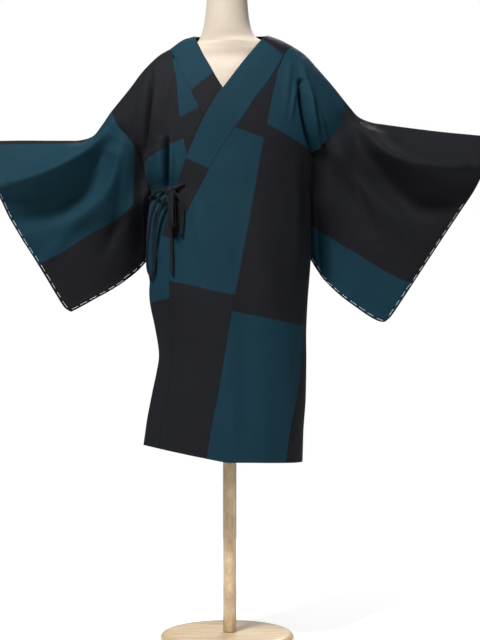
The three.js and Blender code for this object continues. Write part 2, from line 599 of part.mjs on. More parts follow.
// The strip's outer edge from the shoulder down to the armhole's foot.
function sewnEdge(strip, face) {
  const rows = face === 'front' ? [...strip.front].reverse() : [strip.front.at(-1), ...strip.back];
  const edge = rows.map((row) => row.at(-1).clone()).filter(({ z }) => z > ARMHOLE_Z - 1);
  let length = 0;
  return edge.map((place, i) => {
    length += i ? place.distanceTo(edge[i - 1]) : 0;
    return { place, length };
  });
}

// A place on one layer of a sleeve, blended from the layer's four edges.
function sleevePlace(p, start, { cuff, out }, top, bottom) {
  const { q } = start;
  const corners = [[top.getPoint(0), top.getPoint(1)], [bottom.getPoint(0), bottom.getPoint(1)]];
  const place = start.place.clone().lerp(cuff.getPointAt(q), p);
  place.add(top.getPointAt(p).lerp(bottom.getPointAt(p), q));
  const flat = corners[0][0].clone().lerp(corners[0][1], p)
    .lerp(corners[1][0].clone().lerp(corners[1][1], p), q);
  place.sub(flat);
  const fromBottom = Math.min(1, (1 - q) * SLEEVE_DROP / SLEEVE_PUFF);
  const fromTop = Math.min(1, q * SLEEVE_DROP / SLEEVE_PUFF);
  const pinch = mix(SLEEVE_PUFF, CUFF_PINCH, THREE.MathUtils.smoothstep(p, 0.9, 1));
  const inside = THREE.MathUtils.smoothstep(p, 0, 0.13);
  place.y += out * pinch * inside * Math.sqrt(fromTop * (2 - fromTop) * fromBottom * (2 - fromBottom));
  return place;
}

// The unit normals of a grid of places. A ring closes on itself, and at the centre back the
// normals have no slant, so that the halves meet face to face.
function gridNormals(grid, ring) {
  const last = grid.length - 1;
  return grid.map((row, i) => row.map((_, j) => {
    const n = row.length;
    const before = ring ? (j + n - 1) % n : Math.max(j - 1, 0);
    const after = ring ? (j + 1) % n : Math.min(j + 1, n - 1);
    const across = row[after].clone().sub(row[before]).normalize();
    const along = grid[Math.min(i + 1, last)][j].clone().sub(grid[Math.max(i - 1, 0)][j]).normalize();
    const normal = along.cross(across);
    if (Math.abs(row[j].x) < SEAM_GAP) normal.setX(0);
    return normal.normalize();
  }));
}

// Collects a solid's faces and turns them outwards.
class Faces {
  constructor() {
    this.corners = [];
  }

  quad(a, b, c, d) {
    this.corners.push(a, b, c, a, c, d);
  }

  geometry() {
    let volume = 0;
    for (let i = 0; i < this.corners.length; i += 3) {
      const [a, b, c] = this.corners.slice(i, i + 3);
      volume += a.dot(b.clone().cross(c));
    }
    const ordered = volume < 0 ? this.corners.toReversed() : this.corners;
    const kept = [];
    for (let i = 0; i < ordered.length; i += 3) {
      const [a, b, c] = ordered.slice(i, i + 3);
      if (a !== b && b !== c && c !== a) kept.push(a, b, c);
    }
    return new THREE.BufferGeometry().setFromPoints(kept);
  }
}

// A cloth wall of even thickness about a grid of places. shutFrom and shutTo are the ring's
// places between which its last ring is sewn shut.
function clothWall(grid, thickness, { ring = false, shutFrom = 0, shutTo = 0 } = {}) {
  const normals = gridNormals(grid, ring);
  const move = (side) => grid.map((row, i) => row.map((place, j) =>
    place.clone().addScaledVector(normals[i][j], side * thickness / 2)));
  const [outer, inner] = [move(1), move(-1)];
  const faces = new Faces();
  const rows = grid.length - 1;
  const columns = ring ? grid[0].length : grid[0].length - 1;
  const next = (j) => (j + 1) % grid[0].length;
  for (let i = 0; i < rows; i += 1) {
    for (let j = 0; j < columns; j += 1) {
      faces.quad(outer[i][j], outer[i][next(j)], outer[i + 1][next(j)], outer[i + 1][j]);
      faces.quad(inner[i][j], inner[i + 1][j], inner[i + 1][next(j)], inner[i][next(j)]);
    }
    if (ring) continue;
    faces.quad(outer[i][0], outer[i + 1][0], inner[i + 1][0], inner[i][0]);
    faces.quad(outer[i][columns], inner[i][columns], inner[i + 1][columns], outer[i + 1][columns]);
  }
  for (let j = 0; j < columns; j += 1) {
    faces.quad(outer[0][j], inner[0][j], inner[0][next(j)], outer[0][next(j)]);
    if (j >= shutFrom && j < shutTo) continue;
    faces.quad(outer[rows][j], outer[rows][next(j)], inner[rows][next(j)], inner[rows][j]);
  }
  if (shutTo) shutEnd(faces, outer[rows], inner[rows], shutFrom, shutTo);
  return faces.geometry();
}

// Closes the end of a ring between two places that face each other.
function shutEnd(faces, outer, inner, from, to) {
  let [a, b] = [from, to];
  faces.quad(outer[a], outer[b], inner[b], inner[a]);
  while (b - a > 1) {
    const [c, d] = [a + 1, Math.max(b - 1, a + 1)];
    faces.quad(outer[a], outer[c], outer[d], outer[b]);
    faces.quad(inner[a], inner[b], inner[d], inner[c]);
    [a, b] = [c, d];
  }
}

// The cuff is open for its upper part and sewn shut below, as far as the bottom fold.
function sleeveSolid(name, strip) {
  const grid = sleeveGrid(name, strip);
  const bottom = strip.front.filter((row) => row.at(-1).z > ARMHOLE_Z - 1).length
    + SLEEVE_FREE_ROWS.length;
  const shutRows = SLEEVE_FREE_ROWS.length;
  const options = { ring: true, shutFrom: bottom - shutRows, shutTo: bottom + shutRows };
  return clothWall(grid, CLOTH_WALL, options);
}

// A lofted solid of ellipses, from the bottom up. full is the depth at the middle where it isn't
// the ellipse's own.
function loft(sections) {
  const ring = ({ z, wide, deep, mid = 0, full = deep }) => Array.from({ length: FORM_SEGMENTS }, (_, i) => {
    const turn = i / FORM_SEGMENTS * Math.PI * 2;
    const depth = mix(deep, full, Math.sin(turn) ** 2);
    return vec(mid + wide * Math.cos(turn), depth * Math.sin(turn), z);
  });
  const rings = sections.map(ring);
  const faces = new Faces();
  for (let i = 0; i < rings.length - 1; i += 1) {
    for (let j = 0; j < FORM_SEGMENTS; j += 1) {
      const k = (j + 1) % FORM_SEGMENTS;
      faces.quad(rings[i][j], rings[i][k], rings[i + 1][k], rings[i + 1][j]);
    }
  }
  for (const [end, turned] of [[0, true], [rings.length - 1, false]]) {
    const { z, mid = 0 } = sections[end];
    const middle = vec(mid, 0, z);
    for (let j = 0; j < FORM_SEGMENTS; j += 1) {
      const pair = [rings[end][j], rings[end][(j + 1) % FORM_SEGMENTS]];
      const [a, b] = turned ? pair.toReversed() : pair;
      faces.quad(a, b, middle, middle);
    }
  }
  return faces.geometry();
}

function torsoGeometry() {
  const body = FORM_SECTIONS.map((row) => ({ ...row, mid: FORM_MID }));
  const shoulders = SHOULDER_SECTIONS.map(({ x, deep, under }) => {
    const z = Math.min(ridgeHeight(x + SHOULDER_MID), ridgeHeight(SHOULDER_MID - x));
    return { z: z - CLOTH_WALL / 2 - under, wide: x, deep, full: SHOULDER_FULL, mid: SHOULDER_MID };
  });
  return loft([...body, ...shoulders, ...NECK_SECTIONS]);
}

function baseGeometry() {
  const edge = new THREE.Path()
    .lineTo(BASE_RADIUS - 3, 0)
    .lineTo(BASE_RADIUS, 3)
    .absarc(BASE_RADIUS - 14, BASE_HEIGHT - 14, 14, 0, Math.PI / 2)
    .lineTo(0, BASE_HEIGHT);
  return new THREE.LatheGeometry(edge.getPoints(4), 40).rotateX(Math.PI / 2);
}

// A place out from the over front's cloth, as the tie lies on it.
function offFront({ x, z, out }) {
  const half = HALVES.left;
  const place = onFront(half, x, z);
  const [wide, deep] = [half.other(z), half.front(z)];
  return place.add(vec(place.x / wide ** 2, place.y / deep ** 2, 0).setLength(out));
}

// A smooth route on which a flat cord keeps its flat side to the cloth.
class TieRoute extends THREE.CatmullRomCurve3 {
  computeFrenetFrames(steps) {
    const shares = Array.from({ length: steps + 1 }, (_, i) => i / steps);
    const tangents = shares.map((u) => this.getTangentAt(u));
    const binormals = tangents.map((tangent, i) => {
      const place = this.getPointAt(shares[i]);
      const away = vec(place.x, place.y, 0).normalize();
      const around = vec(-away.y, away.x, 0);
      const flat = this.standing ? around.cross(tangent) : away;
      return flat.addScaledVector(tangent, -flat.dot(tangent)).normalize();
    });
    const normals = tangents.map((tangent, i) => binormals[i].clone().cross(tangent));
    return { tangents, normals, binormals };
  }
}

// A standing loop turns back on itself away from the cloth, and the others lie along it.
function tieTube(places, { halfWidth, halfDepth }, steps, standing = false) {
  const turns = Array.from({ length: 8 }, (_, i) => i * Math.PI / 4);
  const shape = new THREE.Shape(turns.map((turn) =>
    new THREE.Vector2(halfWidth * Math.cos(turn), halfDepth * Math.sin(turn))));
  const extrudePath = new TieRoute(places, false, 'centripetal');
  extrudePath.standing = standing;
  return new THREE.ExtrudeGeometry(shape, { steps, extrudePath });
}

function solidOf(geometry) {
  const flat = (geometry.index ? geometry.toNonIndexed() : geometry);
  const bare = new THREE.BufferGeometry().setAttribute('position', flat.getAttribute('position'));
  const merged = mergeVertices(bare, 1e-3);
  const vertProperties = merged.attributes.position.array;
  const triVerts = new Uint32Array(merged.index.array);
  return new wasm.Manifold(new wasm.Mesh({ numProp: 3, vertProperties, triVerts }));
}

function geometryOf(solid) {
  const { vertProperties, triVerts } = solid.getMesh();
  const geometry = new THREE.BufferGeometry();
  geometry.setAttribute('position', new THREE.BufferAttribute(vertProperties, 3));
  return geometry.setIndex(new THREE.BufferAttribute(triVerts, 1)).toNonIndexed();
}

function knotBall(grown) {
  const { knot } = TIE;
  const middle = offFront(knot);
  return new THREE.SphereGeometry(1, 14, 10)
    .scale(knot.halfWidth + grown, knot.halfDepth + grown, knot.halfHeight + grown)
    .rotateZ(Math.atan2(middle.x, -middle.y))
    .translate(middle.x, middle.y, middle.z);
}

// The cords of the tie start in the knot, so each is cut back to just clear of it.
function tieGeometries() {
  const { cord, band } = TIE;
  const waist = TIE.waist.map(({ angle, z, out }) => {
    const [wide, deep] = [section.right(z) + out, section.front(z) - LAYER + out];
    return vec(wide * Math.sin(radians(angle)), -deep * Math.cos(radians(angle)), z);
  });
  const cords = {
    tie_waist: tieTube(waist, cord, 8),
    tie_lead: tieTube(TIE.lead.map(offFront), cord, 6),
    tie_loop_long: tieTube(TIE.loopLong.map(offFront), cord, 26),
    tie_loop_short: tieTube(TIE.loopShort.map(offFront), band, 20, true),
    tie_tail_short: tieTube(TIE.tailShort.map(offFront), cord, 8),
    tie_tail_long: tieTube(TIE.tailLong.map(offFront), cord, 10),
  };
  const hole = solidOf(knotBall(SEAM_GAP));
  const cut = Object.entries(cords).map(([name, geometry]) =>
    [name, geometryOf(solidOf(geometry).subtract(hole))]);
  return { tie_knot: knotBall(0), ...Object.fromEntries(cut) };
}

const object = new THREE.Group();

function add(name, geometry, finish) {
  const mesh = new THREE.Mesh(geometry, new THREE.MeshStandardMaterial(COLOURS[finish]));
  mesh.name = name;
  object.add(mesh);
  return mesh;
}

for (const [name, { sign }] of Object.entries(HALVES)) {
  const strip = stripGrid(name);
  const sleeve = sleeveSolid(name, strip);
  const body = mirrored(inset([...strip.front, ...strip.back], SEAM_INSET, SEAM_INSET), sign);
  const okumi = mirrored(inset(okumiGrid(name), SEAM_INSET, SEAM_INSET), sign);
  const collar = mirrored(inset(collarGrid(name), 0, SEAM_INSET), sign);
  collar.at(-1).forEach((place) => place.setX(sign * SEAM_GAP / 2));
  add(`body_${name}`, clothWall(body, CLOTH_WALL), 'teal');
  add(`okumi_${name}`, clothWall(okumi, CLOTH_WALL), 'black');
  add(`collar_${name}`, clothWall(collar, COLLAR_WALL), 'teal');
  add(`sleeve_${name}`, sleeve, 'teal');
}

for (const [name, geometry] of Object.entries(tieGeometries())) add(name, geometry, 'teal');

add('form_torso', torsoGeometry(), 'ivory');
const poleLength = FORM_BOTTOM_Z - BASE_HEIGHT - 2 * SEAM_GAP;
const pole = new THREE.CylinderGeometry(POLE_RADIUS, POLE_RADIUS, poleLength, 20).rotateX(Math.PI / 2);
add('form_pole', pole, 'wood').position.set(FORM_MID, 0, BASE_HEIGHT + SEAM_GAP + poleLength / 2);
add('form_base', baseGeometry(), 'wood');

export default object;
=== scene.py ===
"""A kimono coat on a limbless dress form, dressed around its CAD frame.

The tables are in millimetres, in the CAD's frame: +Z up, the front faces -Y and +X is the wearer's
left. Each half of the coat is worked out in its own frame, where x grows from the centre towards
that half's side, and is then mirrored into place. Meshes are made in metres.
"""
import math
from types import SimpleNamespace

import bpy
import numpy as np
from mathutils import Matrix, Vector, noise


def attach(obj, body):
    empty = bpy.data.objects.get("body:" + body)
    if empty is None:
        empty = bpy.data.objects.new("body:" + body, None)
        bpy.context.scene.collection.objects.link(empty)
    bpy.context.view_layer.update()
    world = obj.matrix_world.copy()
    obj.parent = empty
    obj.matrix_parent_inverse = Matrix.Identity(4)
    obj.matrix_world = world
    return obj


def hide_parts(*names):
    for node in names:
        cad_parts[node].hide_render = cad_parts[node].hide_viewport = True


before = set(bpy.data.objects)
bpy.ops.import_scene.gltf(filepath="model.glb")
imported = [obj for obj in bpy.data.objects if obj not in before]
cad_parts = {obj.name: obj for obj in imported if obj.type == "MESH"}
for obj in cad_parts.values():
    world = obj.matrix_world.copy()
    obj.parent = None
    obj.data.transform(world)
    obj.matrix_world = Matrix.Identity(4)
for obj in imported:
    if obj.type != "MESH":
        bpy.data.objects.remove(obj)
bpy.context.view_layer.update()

MM = 0.001
BODY = "root"

# ---------------------------------------------------------------- sizes

CLOTH_WALL = 2.0
COLLAR_WALL = 3.0
SEAM_GAP = 0.3
SEAM_LAP = 0.35  # each piece reaches this far under its neighbour's edge
LAYER = 7.0
YOKE_Z = 1100.0
HEM_Z = 412.0
HEM_LIFT = 8.0
HEM_SLOPE = 0.19
HEM_FADE = 300.0
UNDER_HEM_LIFT = 5.0
SLEEVE_DROP = 490.0
SLEEVE_PUFF = 6.0
CUFF_PINCH = 2.4
CUFF_SHARES = (0.9, 1)  # where a sleeve narrows towards its cuff
INNER_SHARES = (0, 0.13)  # and towards the body
RIDGE_FADE = 0.8  # rows beside the shoulder's ridge in which folds fade out
COLLAR_FADE = 40.0  # behind this depth the collar's folds fade out
ARMHOLE_Z = 1018.0
SEWN_CLEARANCE = 0.15  # from the body's edge to the sleeve's
NECK_BACK_Y = 100.0
NECK_BACK_Z = 1334.0
COLLAR_TOP_Y = 86.0
COLLAR_TOP_Z = 1383.0
BODY_COLUMNS = 11
OKUMI_COLUMNS = 3
COLLAR_COLUMNS = 2
NECK_ROWS = 4
BACK_YOKE_ROWS = 4
SLEEVE_COLUMNS = [0, 0.05, 0.13, 0.22, 0.32, 0.42, 0.53, 0.64, 0.75, 0.86, 0.95, 1]
SLEEVE_FREE_ROWS = [0.2, 0.4, 0.6, 0.8, 0.93, 0.98]

MESH_STEP = 4.0  # between the points of the cloth
EDGE_STEPS = (0.8, 2.0, 3.5, 5.0)  # more points near a piece's edges
MESH_GAP = 0.6  # the least between points
CURVE_STEPS = 400  # places at which a curve is measured
EDGE_THIN = 0.55  # the share of a wall that is left at its edges

FOLD_STEPS = 14  # straight steps along a fold's line
FOLD_TAPER = 0.04  # the share of a fold's line that it keeps low at each end
RIPPLE_HEIGHT = 0.9
RIPPLE_SEEDS = {"front": 3.0, "back": 7.0}
RIPPLE_LONG = (70.0, 190.0)  # across and upwards
RIPPLE_SHORT = (30.0, 60.0)
SLANT_LIMIT = 190.0  # folds slant more and more sideways out to here
SLANT_SPAN = 210.0
SLANT_FADE = (195.0, 260.0)  # and then less and less


def table(names, *rows):
    """A table with named columns, one array for each."""
    return {name: np.array(values, float) for name, values in zip(names.split(), zip(*rows))}


# Horizontal sections of the body: half widths to the wearer's left and right, the half width that
# the over flap hangs on, and the depths to the front and back.
SECTIONS = table(
    "z left right flap front back",
    (412, 168, 152, 232, 130, 126), (482, 170, 150, 206, 130, 124), (550, 175, 149, 184, 130, 123),
    (643, 177, 147, 162, 130, 122), (706, 177, 154, 170, 130, 121), (772, 180, 165, 185, 129, 120),
    (851, 186, 178, 192, 127, 117), (900, 187, 180, 193, 126, 114), (970, 187, 175, 186, 121, 110),
    (1012, 188, 167, 178, 118, 108), (1045, 192, 182, 188, 117, 109),
    (1100, 205, 203, 204, 113, 112),
)
# The edges of the openings at the sides, as angles round the section from the front.
SIDES = table(
    "z front back",
    (412, 50, 50), (530, 58, 58), (617, 67, 67), (712, 76, 76), (865, 88, 88), (944, 90, 90),
    (977, 88, 92), (1018, 85, 97), (1057, 80, 101), (1100, 74, 106),
)
# The shoulder's ridge line, seen from the front.
RIDGE = table(
    "x z",
    (-300, 1140), (-273, 1176), (-244, 1212), (-215, 1248), (-188, 1284), (-152, 1319),
    (-121, 1337), (-96, 1355), (-72, 1362), (10, 1370), (89, 1364), (114, 1355), (148, 1337),
    (175, 1319), (208, 1284), (240, 1248), (269, 1212), (298, 1178),
)
# The fronts: the seam from body to okumi, the seam from okumi to collar, the collar's free edge,
# and how much higher than the seam that edge lies. Where the okumi has ended, the body's edge is
# the collar's seam.
FRONT_COLUMNS = "z okumi seam edge rise"
LEFT_FRONT = table(
    FRONT_COLUMNS,
    (412, -43, -148, -182, 0), (446, -38, -144, -178, 0), (482, -33, -140, -174, 0),
    (550, -20, -129, -163, 0), (600, -12, -123, -154, 0), (643, -5, -120, -149, 0),
    (706, 5, -121, -157, 0), (772, 16, -124, -170, 0), (820, 26, -125, -168, 0),
    (865, 34, -122, -154, 0), (906, 42, -110, -143, 2), (944, 49, -94, -131, 4),
    (977, 55, -79, -121, 6), (1018, 62, -58, -107, 10), (1057, 69, -38, -92, 14),
    (1100, 76, -13, -72, 20), (1137, 84, 12, -49, 32), (1163, 89, 31, -27, 46),
    (1209, 98, 60, -2, 34), (1251, 107, 91, 29, 35), (1275, 112, 105, 49, 38),
    (1292, 119, 115, 62, 38), (1312, 126, 124, 73, 33), (1330, 136, 136, 83, 27),
    (1340, 146, 146, 90, 24),
)
RIGHT_FRONT = table(
    FRONT_COLUMNS,
    (412, -41, -88, -134, 0), (446, -35, -89, -136, 0), (482, -30, -90, -138, 0),
    (550, -17, -92, -141, 0), (600, -9, -92, -142, 0), (643, -3, -92, -142, 0),
    (706, 9, -91, -143, 0), (772, 22, -87, -143, 0), (820, 31, -82, -142, 0),
    (865, 39, -76, -138, 0), (906, 47, -68, -130, 2), (944, 55, -57, -120, 4),
    (977, 62, -45, -108, 6), (1018, 71, -28, -92, 10), (1057, 80, -8, -74, 14),
    (1100, 89, 16, -51, 22), (1134, 95, 32, -33, 30), (1163, 101, 46, -16, 33),
    (1193, 105, 60, 3, 34), (1230, 108, 78, 22, 28), (1262, 111, 94, 38, 26),
    (1290, 117, 107, 52, 23), (1308, 119, 115, 60, 23), (1322, 121, 121, 67, 25),
    (1334, 126, 126, 72, 28),
)
OKUMI_ROWS = 23  # the okumi ends at this row of the fronts

# The edges of a sleeve, each from the body outwards or from the top down.
LEFT_SLEEVE = {
    "shoulder": [(264, 0, 1216)],
    "armhole_front": [(259, -20, 1182), (246, -38, 1148), (218, -42, 1124)],
    "armhole_back": [(260, 22, 1184), (246, 40, 1150), (220, 42, 1124)],
    "free_front": [(188, 12, 985), (182, 38, 958), (172, 62, 932)],
    "free_back": [(181, 40, 985), (178, 62, 955), (172, 82, 930)],
    "inner": [(164, 84, 912)],
    "top": [(282, 2, 1195), (298, 6, 1180), (316, 10, 1173), (345, 14, 1168), (400, 19, 1161),
            (480, 25, 1152)],
    "tip": [(588, 28, 1142)],
    "cuff_front": [(582, 0, 1100), (572, -22, 1066), (560, -20, 1033), (540, -12, 997),
                   (515, -8, 961), (444, -4, 853), (386, -2, 764), (372, 0, 744), (362, 0, 730)],
    "cuff_back": [(582, 29, 1100), (574, 28, 1066), (560, 24, 1033), (540, 16, 997),
                  (515, 8, 961), (444, -2, 853), (386, -2, 764), (372, 0, 744), (362, 0, 730)],
    "corner": [(352, 0, 724)],
    "bottom": [(190, 56, 866), (218, 32, 822), (255, 14, 784), (305, 5, 747), (332, 1, 729)],
}
RIGHT_SLEEVE = {
    "shoulder": [(258, 0, 1195)],
    "armhole_front": [(250, -18, 1176), (238, -34, 1154), (218, -40, 1132)],
    "armhole_back": [(252, 20, 1176), (240, 36, 1152), (219, 42, 1128)],
    "free_front": [(174, 15, 988), (171, 40, 955), (165, 64, 925)],
    "free_back": [(169, 40, 985), (166, 62, 950), (163, 84, 924)],
    "inner": [(160, 86, 900)],
    "top": [(273, 2, 1174), (289, 6, 1152), (304, 10, 1138), (325, 14, 1132), (380, 19, 1131),
            (460, 25, 1132)],
    "tip": [(546, 28, 1131)],
    "cuff_front": [(536, 0, 1080), (522, -22, 1040), (509, -24, 1012), (497, -16, 979),
                   (479, -10, 943), (423, -4, 853), (383, -2, 786), (370, 0, 764), (360, 0, 752)],
    "cuff_back": [(536, 29, 1080), (524, 28, 1040), (510, 24, 1012), (497, 16, 979),
                  (479, 8, 943), (423, -2, 853), (383, -2, 786), (370, 0, 764), (360, 0, 752)],
    "corner": [(350, 0, 747)],
    "bottom": [(188, 58, 858), (208, 42, 836), (255, 18, 800), (290, 8, 780), (330, 2, 757)],
}

# Folds and creases, each a soft ridge or trough along a line from its first place to its last,
# bent by a middle one, in its half's own frame: x0, z0, x1, z1, x2, z2, width, height.
FOLDS = {
    ("left", "front"): [
        (294, 1184, 350, 1038, 555, 1069, 26, 32), (262, 1150, 374, 945, 535, 1012, 32, -23),
        (240, 1072, 280, 1002, 340, 900, 20, -9), (225, 1110, 330, 1000, 430, 900, 24, 8),
        (163, 1250, 168, 1165, 195, 1098, 7, -17), (180, 1243, 187, 1180, 205, 1110, 10, 9),
        (60, 960, 110, 800, 120, 560, 26, 5), (20, 900, 50, 700, 40, 480, 24, -5),
    ],
    ("left", "back"): [
        (250, 1150, 300, 1000, 420, 900, 30, 10), (60, 1250, 90, 1100, 110, 900, 26, -7),
        (80, 900, 70, 700, 95, 460, 28, 8), (330, 1120, 380, 1000, 400, 850, 24, -7),
    ],
    ("right", "front"): [
        (268, 1166, 329, 1062, 500, 1024, 26, 32), (253, 1110, 302, 985, 464, 955, 31, -23),
        (222, 1112, 276, 965, 374, 936, 20, 11), (206, 1060, 226, 980, 276, 880, 16, -9),
        (166, 1250, 172, 1195, 184, 1110, 9, -11), (150, 1240, 152, 1170, 160, 1080, 10, 6),
        (150, 1118, 155, 1068, 146, 1026, 12, 8),
    ],
    ("right", "back"): [
        (250, 1130, 300, 990, 400, 880, 30, 10), (50, 1240, 80, 1100, 105, 920, 26, -7),
        (85, 880, 90, 700, 75, 470, 28, 8), (330, 1100, 370, 980, 390, 860, 24, -7),
    ],
}
CREASES = {
    ("left", "front"): [
        (272, 1175, 352, 995, 548, 1042, 20, -15), (314, 1140, 360, 1045, 555, 1069, 13, 8),
        (212, 1085, 208, 960, 224, 805, 12, -18), (300, 1120, 400, 1050, 500, 1040, 9, 3),
        (250, 1120, 272, 1050, 300, 960, 9, 3.5), (262, 1090, 300, 1010, 330, 930, 7, -3),
        (350, 1000, 400, 930, 420, 850, 14, 3), (420, 1010, 450, 950, 470, 900, 12, -2.5),
        (164, 1250, 170, 1160, 196, 1096, 6, -24), (166, 1305, 179, 1190, 207, 1096, 7, 9),
        (188, 1205, 197, 1150, 214, 1100, 6, -8), (201, 1190, 210, 1150, 224, 1105, 6, 5),
        (152, 1245, 143, 1200, 141, 1168, 4, 4), (140, 1300, 132, 1240, 128, 1180, 7, 3),
        (170, 1090, 178, 1020, 170, 930, 9, -4), (150, 1060, 158, 960, 150, 850, 12, 3),
        (175, 900, 168, 800, 150, 700, 12, -3), (130, 700, 140, 600, 130, 480, 14, 3),
        (-90, 1000, -60, 940, -50, 840, 10, 3), (-60, 1010, -20, 930, 0, 800, 12, -2.5),
        (-100, 780, -90, 650, -110, 500, 16, 3), (-40, 700, -60, 560, -50, 430, 16, -2.5),
        (80, 520, 90, 470, 84, 425, 18, 3), (20, 560, 10, 500, 20, 430, 16, 2.5),
        (222, 935, 220, 870, 226, 800, 9, -5), (204, 1108, 197, 1060, 189, 1012, 8, -10),
    ],
    ("left", "back"): [
        (258, 1160, 290, 1080, 350, 1010, 10, -4), (240, 1110, 270, 1030, 330, 930, 12, 4),
        (350, 1060, 430, 1010, 520, 1000, 14, 4), (150, 1230, 168, 1150, 176, 1060, 10, -4),
        (30, 1280, 50, 1180, 60, 1040, 14, 3), (130, 1000, 140, 880, 130, 740, 14, -3.5),
        (30, 820, 36, 640, 26, 440, 20, -3.5), (140, 640, 132, 540, 140, 430, 14, 3),
    ],
    ("right", "front"): [
        (252, 1148, 312, 1028, 490, 994, 20, -15), (288, 1122, 338, 1058, 500, 1024, 13, 8),
        (204, 1085, 198, 965, 208, 850, 11, -16), (290, 1090, 370, 1030, 450, 1000, 9, 3),
        (236, 1120, 250, 1050, 280, 960, 9, 4), (226, 1090, 240, 1010, 262, 900, 7, -3.5),
        (320, 960, 380, 900, 410, 850, 14, 3), (390, 1040, 430, 990, 452, 930, 11, -2.5),
        (168, 1275, 172, 1190, 182, 1096, 5, -12), (158, 1260, 161, 1190, 170, 1110, 6, 5),
        (200, 1220, 206, 1170, 216, 1110, 6, -4), (120, 1290, 134, 1230, 138, 1150, 7, 3),
        (166, 1110, 168, 1066, 158, 1024, 5, 4), (130, 1122, 132, 1066, 130, 1008, 5, -22),
        (120, 1120, 120, 1066, 123, 1024, 6, 7), (197, 1104, 190, 1055, 186, 1010, 7, -9),
        (168, 1094, 174, 1048, 166, 1018, 9, 7), (141, 1122, 143, 1066, 138, 1022, 6, 7),
        (150, 990, 158, 930, 150, 850, 9, 4), (165, 960, 172, 880, 160, 790, 8, -4),
        (140, 830, 136, 740, 130, 640, 10, -3),
    ],
    ("right", "back"): [
        (248, 1140, 280, 1060, 340, 990, 10, -4), (232, 1100, 256, 1020, 310, 920, 12, 4),
        (340, 1050, 420, 1000, 490, 990, 14, 4), (150, 1230, 166, 1140, 170, 1050, 10, -4),
        (26, 1270, 40, 1160, 52, 1020, 14, 3), (120, 980, 134, 860, 122, 730, 14, -3.5),
        (30, 800, 24, 640, 34, 440, 20, 3), (132, 620, 138, 520, 130, 430, 14, -3),
    ],
}

# The tie, as places seen from the front (x, z) with a distance out from the over front's cloth. The
# waist's are angles round the body, heights and distances out. A cord's size is half its width and
# half its thickness.
TIE = {
    "knot": (-118, 1008, 14),
    "lead": [(-90, 1024, 4.4), (-97, 1022, 5.2), (-106, 1017, 9), (-117, 1010, 13)],
    "waist": [(-81, 999, 7), (-74, 1002, 7), (-66, 1005, 9), (-58, 1008, 17), (-50, 1010, 26),
              (-43, 1010, 25)],
    "loop_long": [(-122, 1011, 13), (-143, 995, 9), (-159, 963, 7), (-167, 915, 7), (-170, 870, 7),
                  (-168, 838, 7), (-161, 825, 7), (-155, 837, 7), (-153, 870, 7), (-153, 915, 7),
                  (-147, 952, 7), (-139, 977, 7), (-127, 996, 10)],
    "loop_short": [(-113, 1006, 15), (-111, 992, 16), (-110, 960, 16), (-109, 938, 17),
                   (-109, 931, 22), (-109, 938, 27), (-110, 960, 27), (-111, 992, 23),
                   (-113, 1006, 19)],
    "tail_short": [(-110, 1005, 12), (-100, 993, 8), (-94, 972, 6), (-93, 950, 6), (-95, 926, 6),
                   (-96, 910, 6)],
    "tail_long": [(-118, 1003, 9), (-118, 985, 6), (-118, 950, 6), (-118, 915, 6), (-117, 880, 6),
                  (-116, 850, 6), (-116, 830, 6)],
}
CORD_SIZE = (4.0, 2.5)
BAND_SIZE = (9.0, 2.0)
KNOT_SIZE = (13.0, 9.0, 11.0)  # half its width, depth and height
CORD_STEP = 2.5
CORD_SIDES = 20
CORD_CLOSING = 4.0  # a bare end closes over this length
CORD_END = 0.35  # to this share of the cord's size
CORD_SQUARE = 0.85  # less than 1 makes its edges squarer
KNOT_RINGS = 26
KNOT_SIDES = 40
KNOT_POLE = 0.06  # the angle that its closed ends take
KNOT_FOLD = 0.13  # how deep the fold across it goes, as a share
KNOT_FOLD_WIDTH = 0.16
KNOT_LUMPS = 0.05
KNOT_FLAT = (34.0, 10.0)  # its skin's length from end to end and a quarter of its girth

# The form: its body's sections (z, half width, half depth), its shoulders' (half width, half depth,
# how far under the coat's ridge) and its neck's (z, half width, half depth, middle).
FORM_SECTIONS = [
    (640, 60, 50), (643, 96, 78), (655, 112, 88), (700, 122, 94), (780, 132, 97), (860, 138, 94),
    (940, 132, 86), (1010, 126, 82), (1080, 132, 86), (1150, 138, 88), (1220, 143, 80),
    (1280, 146, 64), (1310, 146, 50),
]
SHOULDER_SECTIONS = [(139, 34, 2.2), (126, 36, 7), (112, 40, 10), (98, 44, 12), (84, 46, 14)]
NECK_SECTIONS = [
    (1357, 66, 47, 4), (1374, 56, 48, 1), (1400, 50, 48, 0), (1440, 46, 46, 0), (1466, 45, 45, 0),
    (1475, 41, 41, 0), (1479, 30, 30, 0),
]
SHOULDER_FULL = 49.0  # the half depth at the shoulders' middle
FORM_MID = 6.0
SHOULDER_MID = 14.0
POLE_RADIUS = 15.0
BASE_RADIUS = 150.0
BASE_HEIGHT = 30.0
BASE_ROUND = 14.0
FORM_BOTTOM_Z = 640.0

# ---------------------------------------------------------------- block colours

TEAL, BLACK = 1, -1
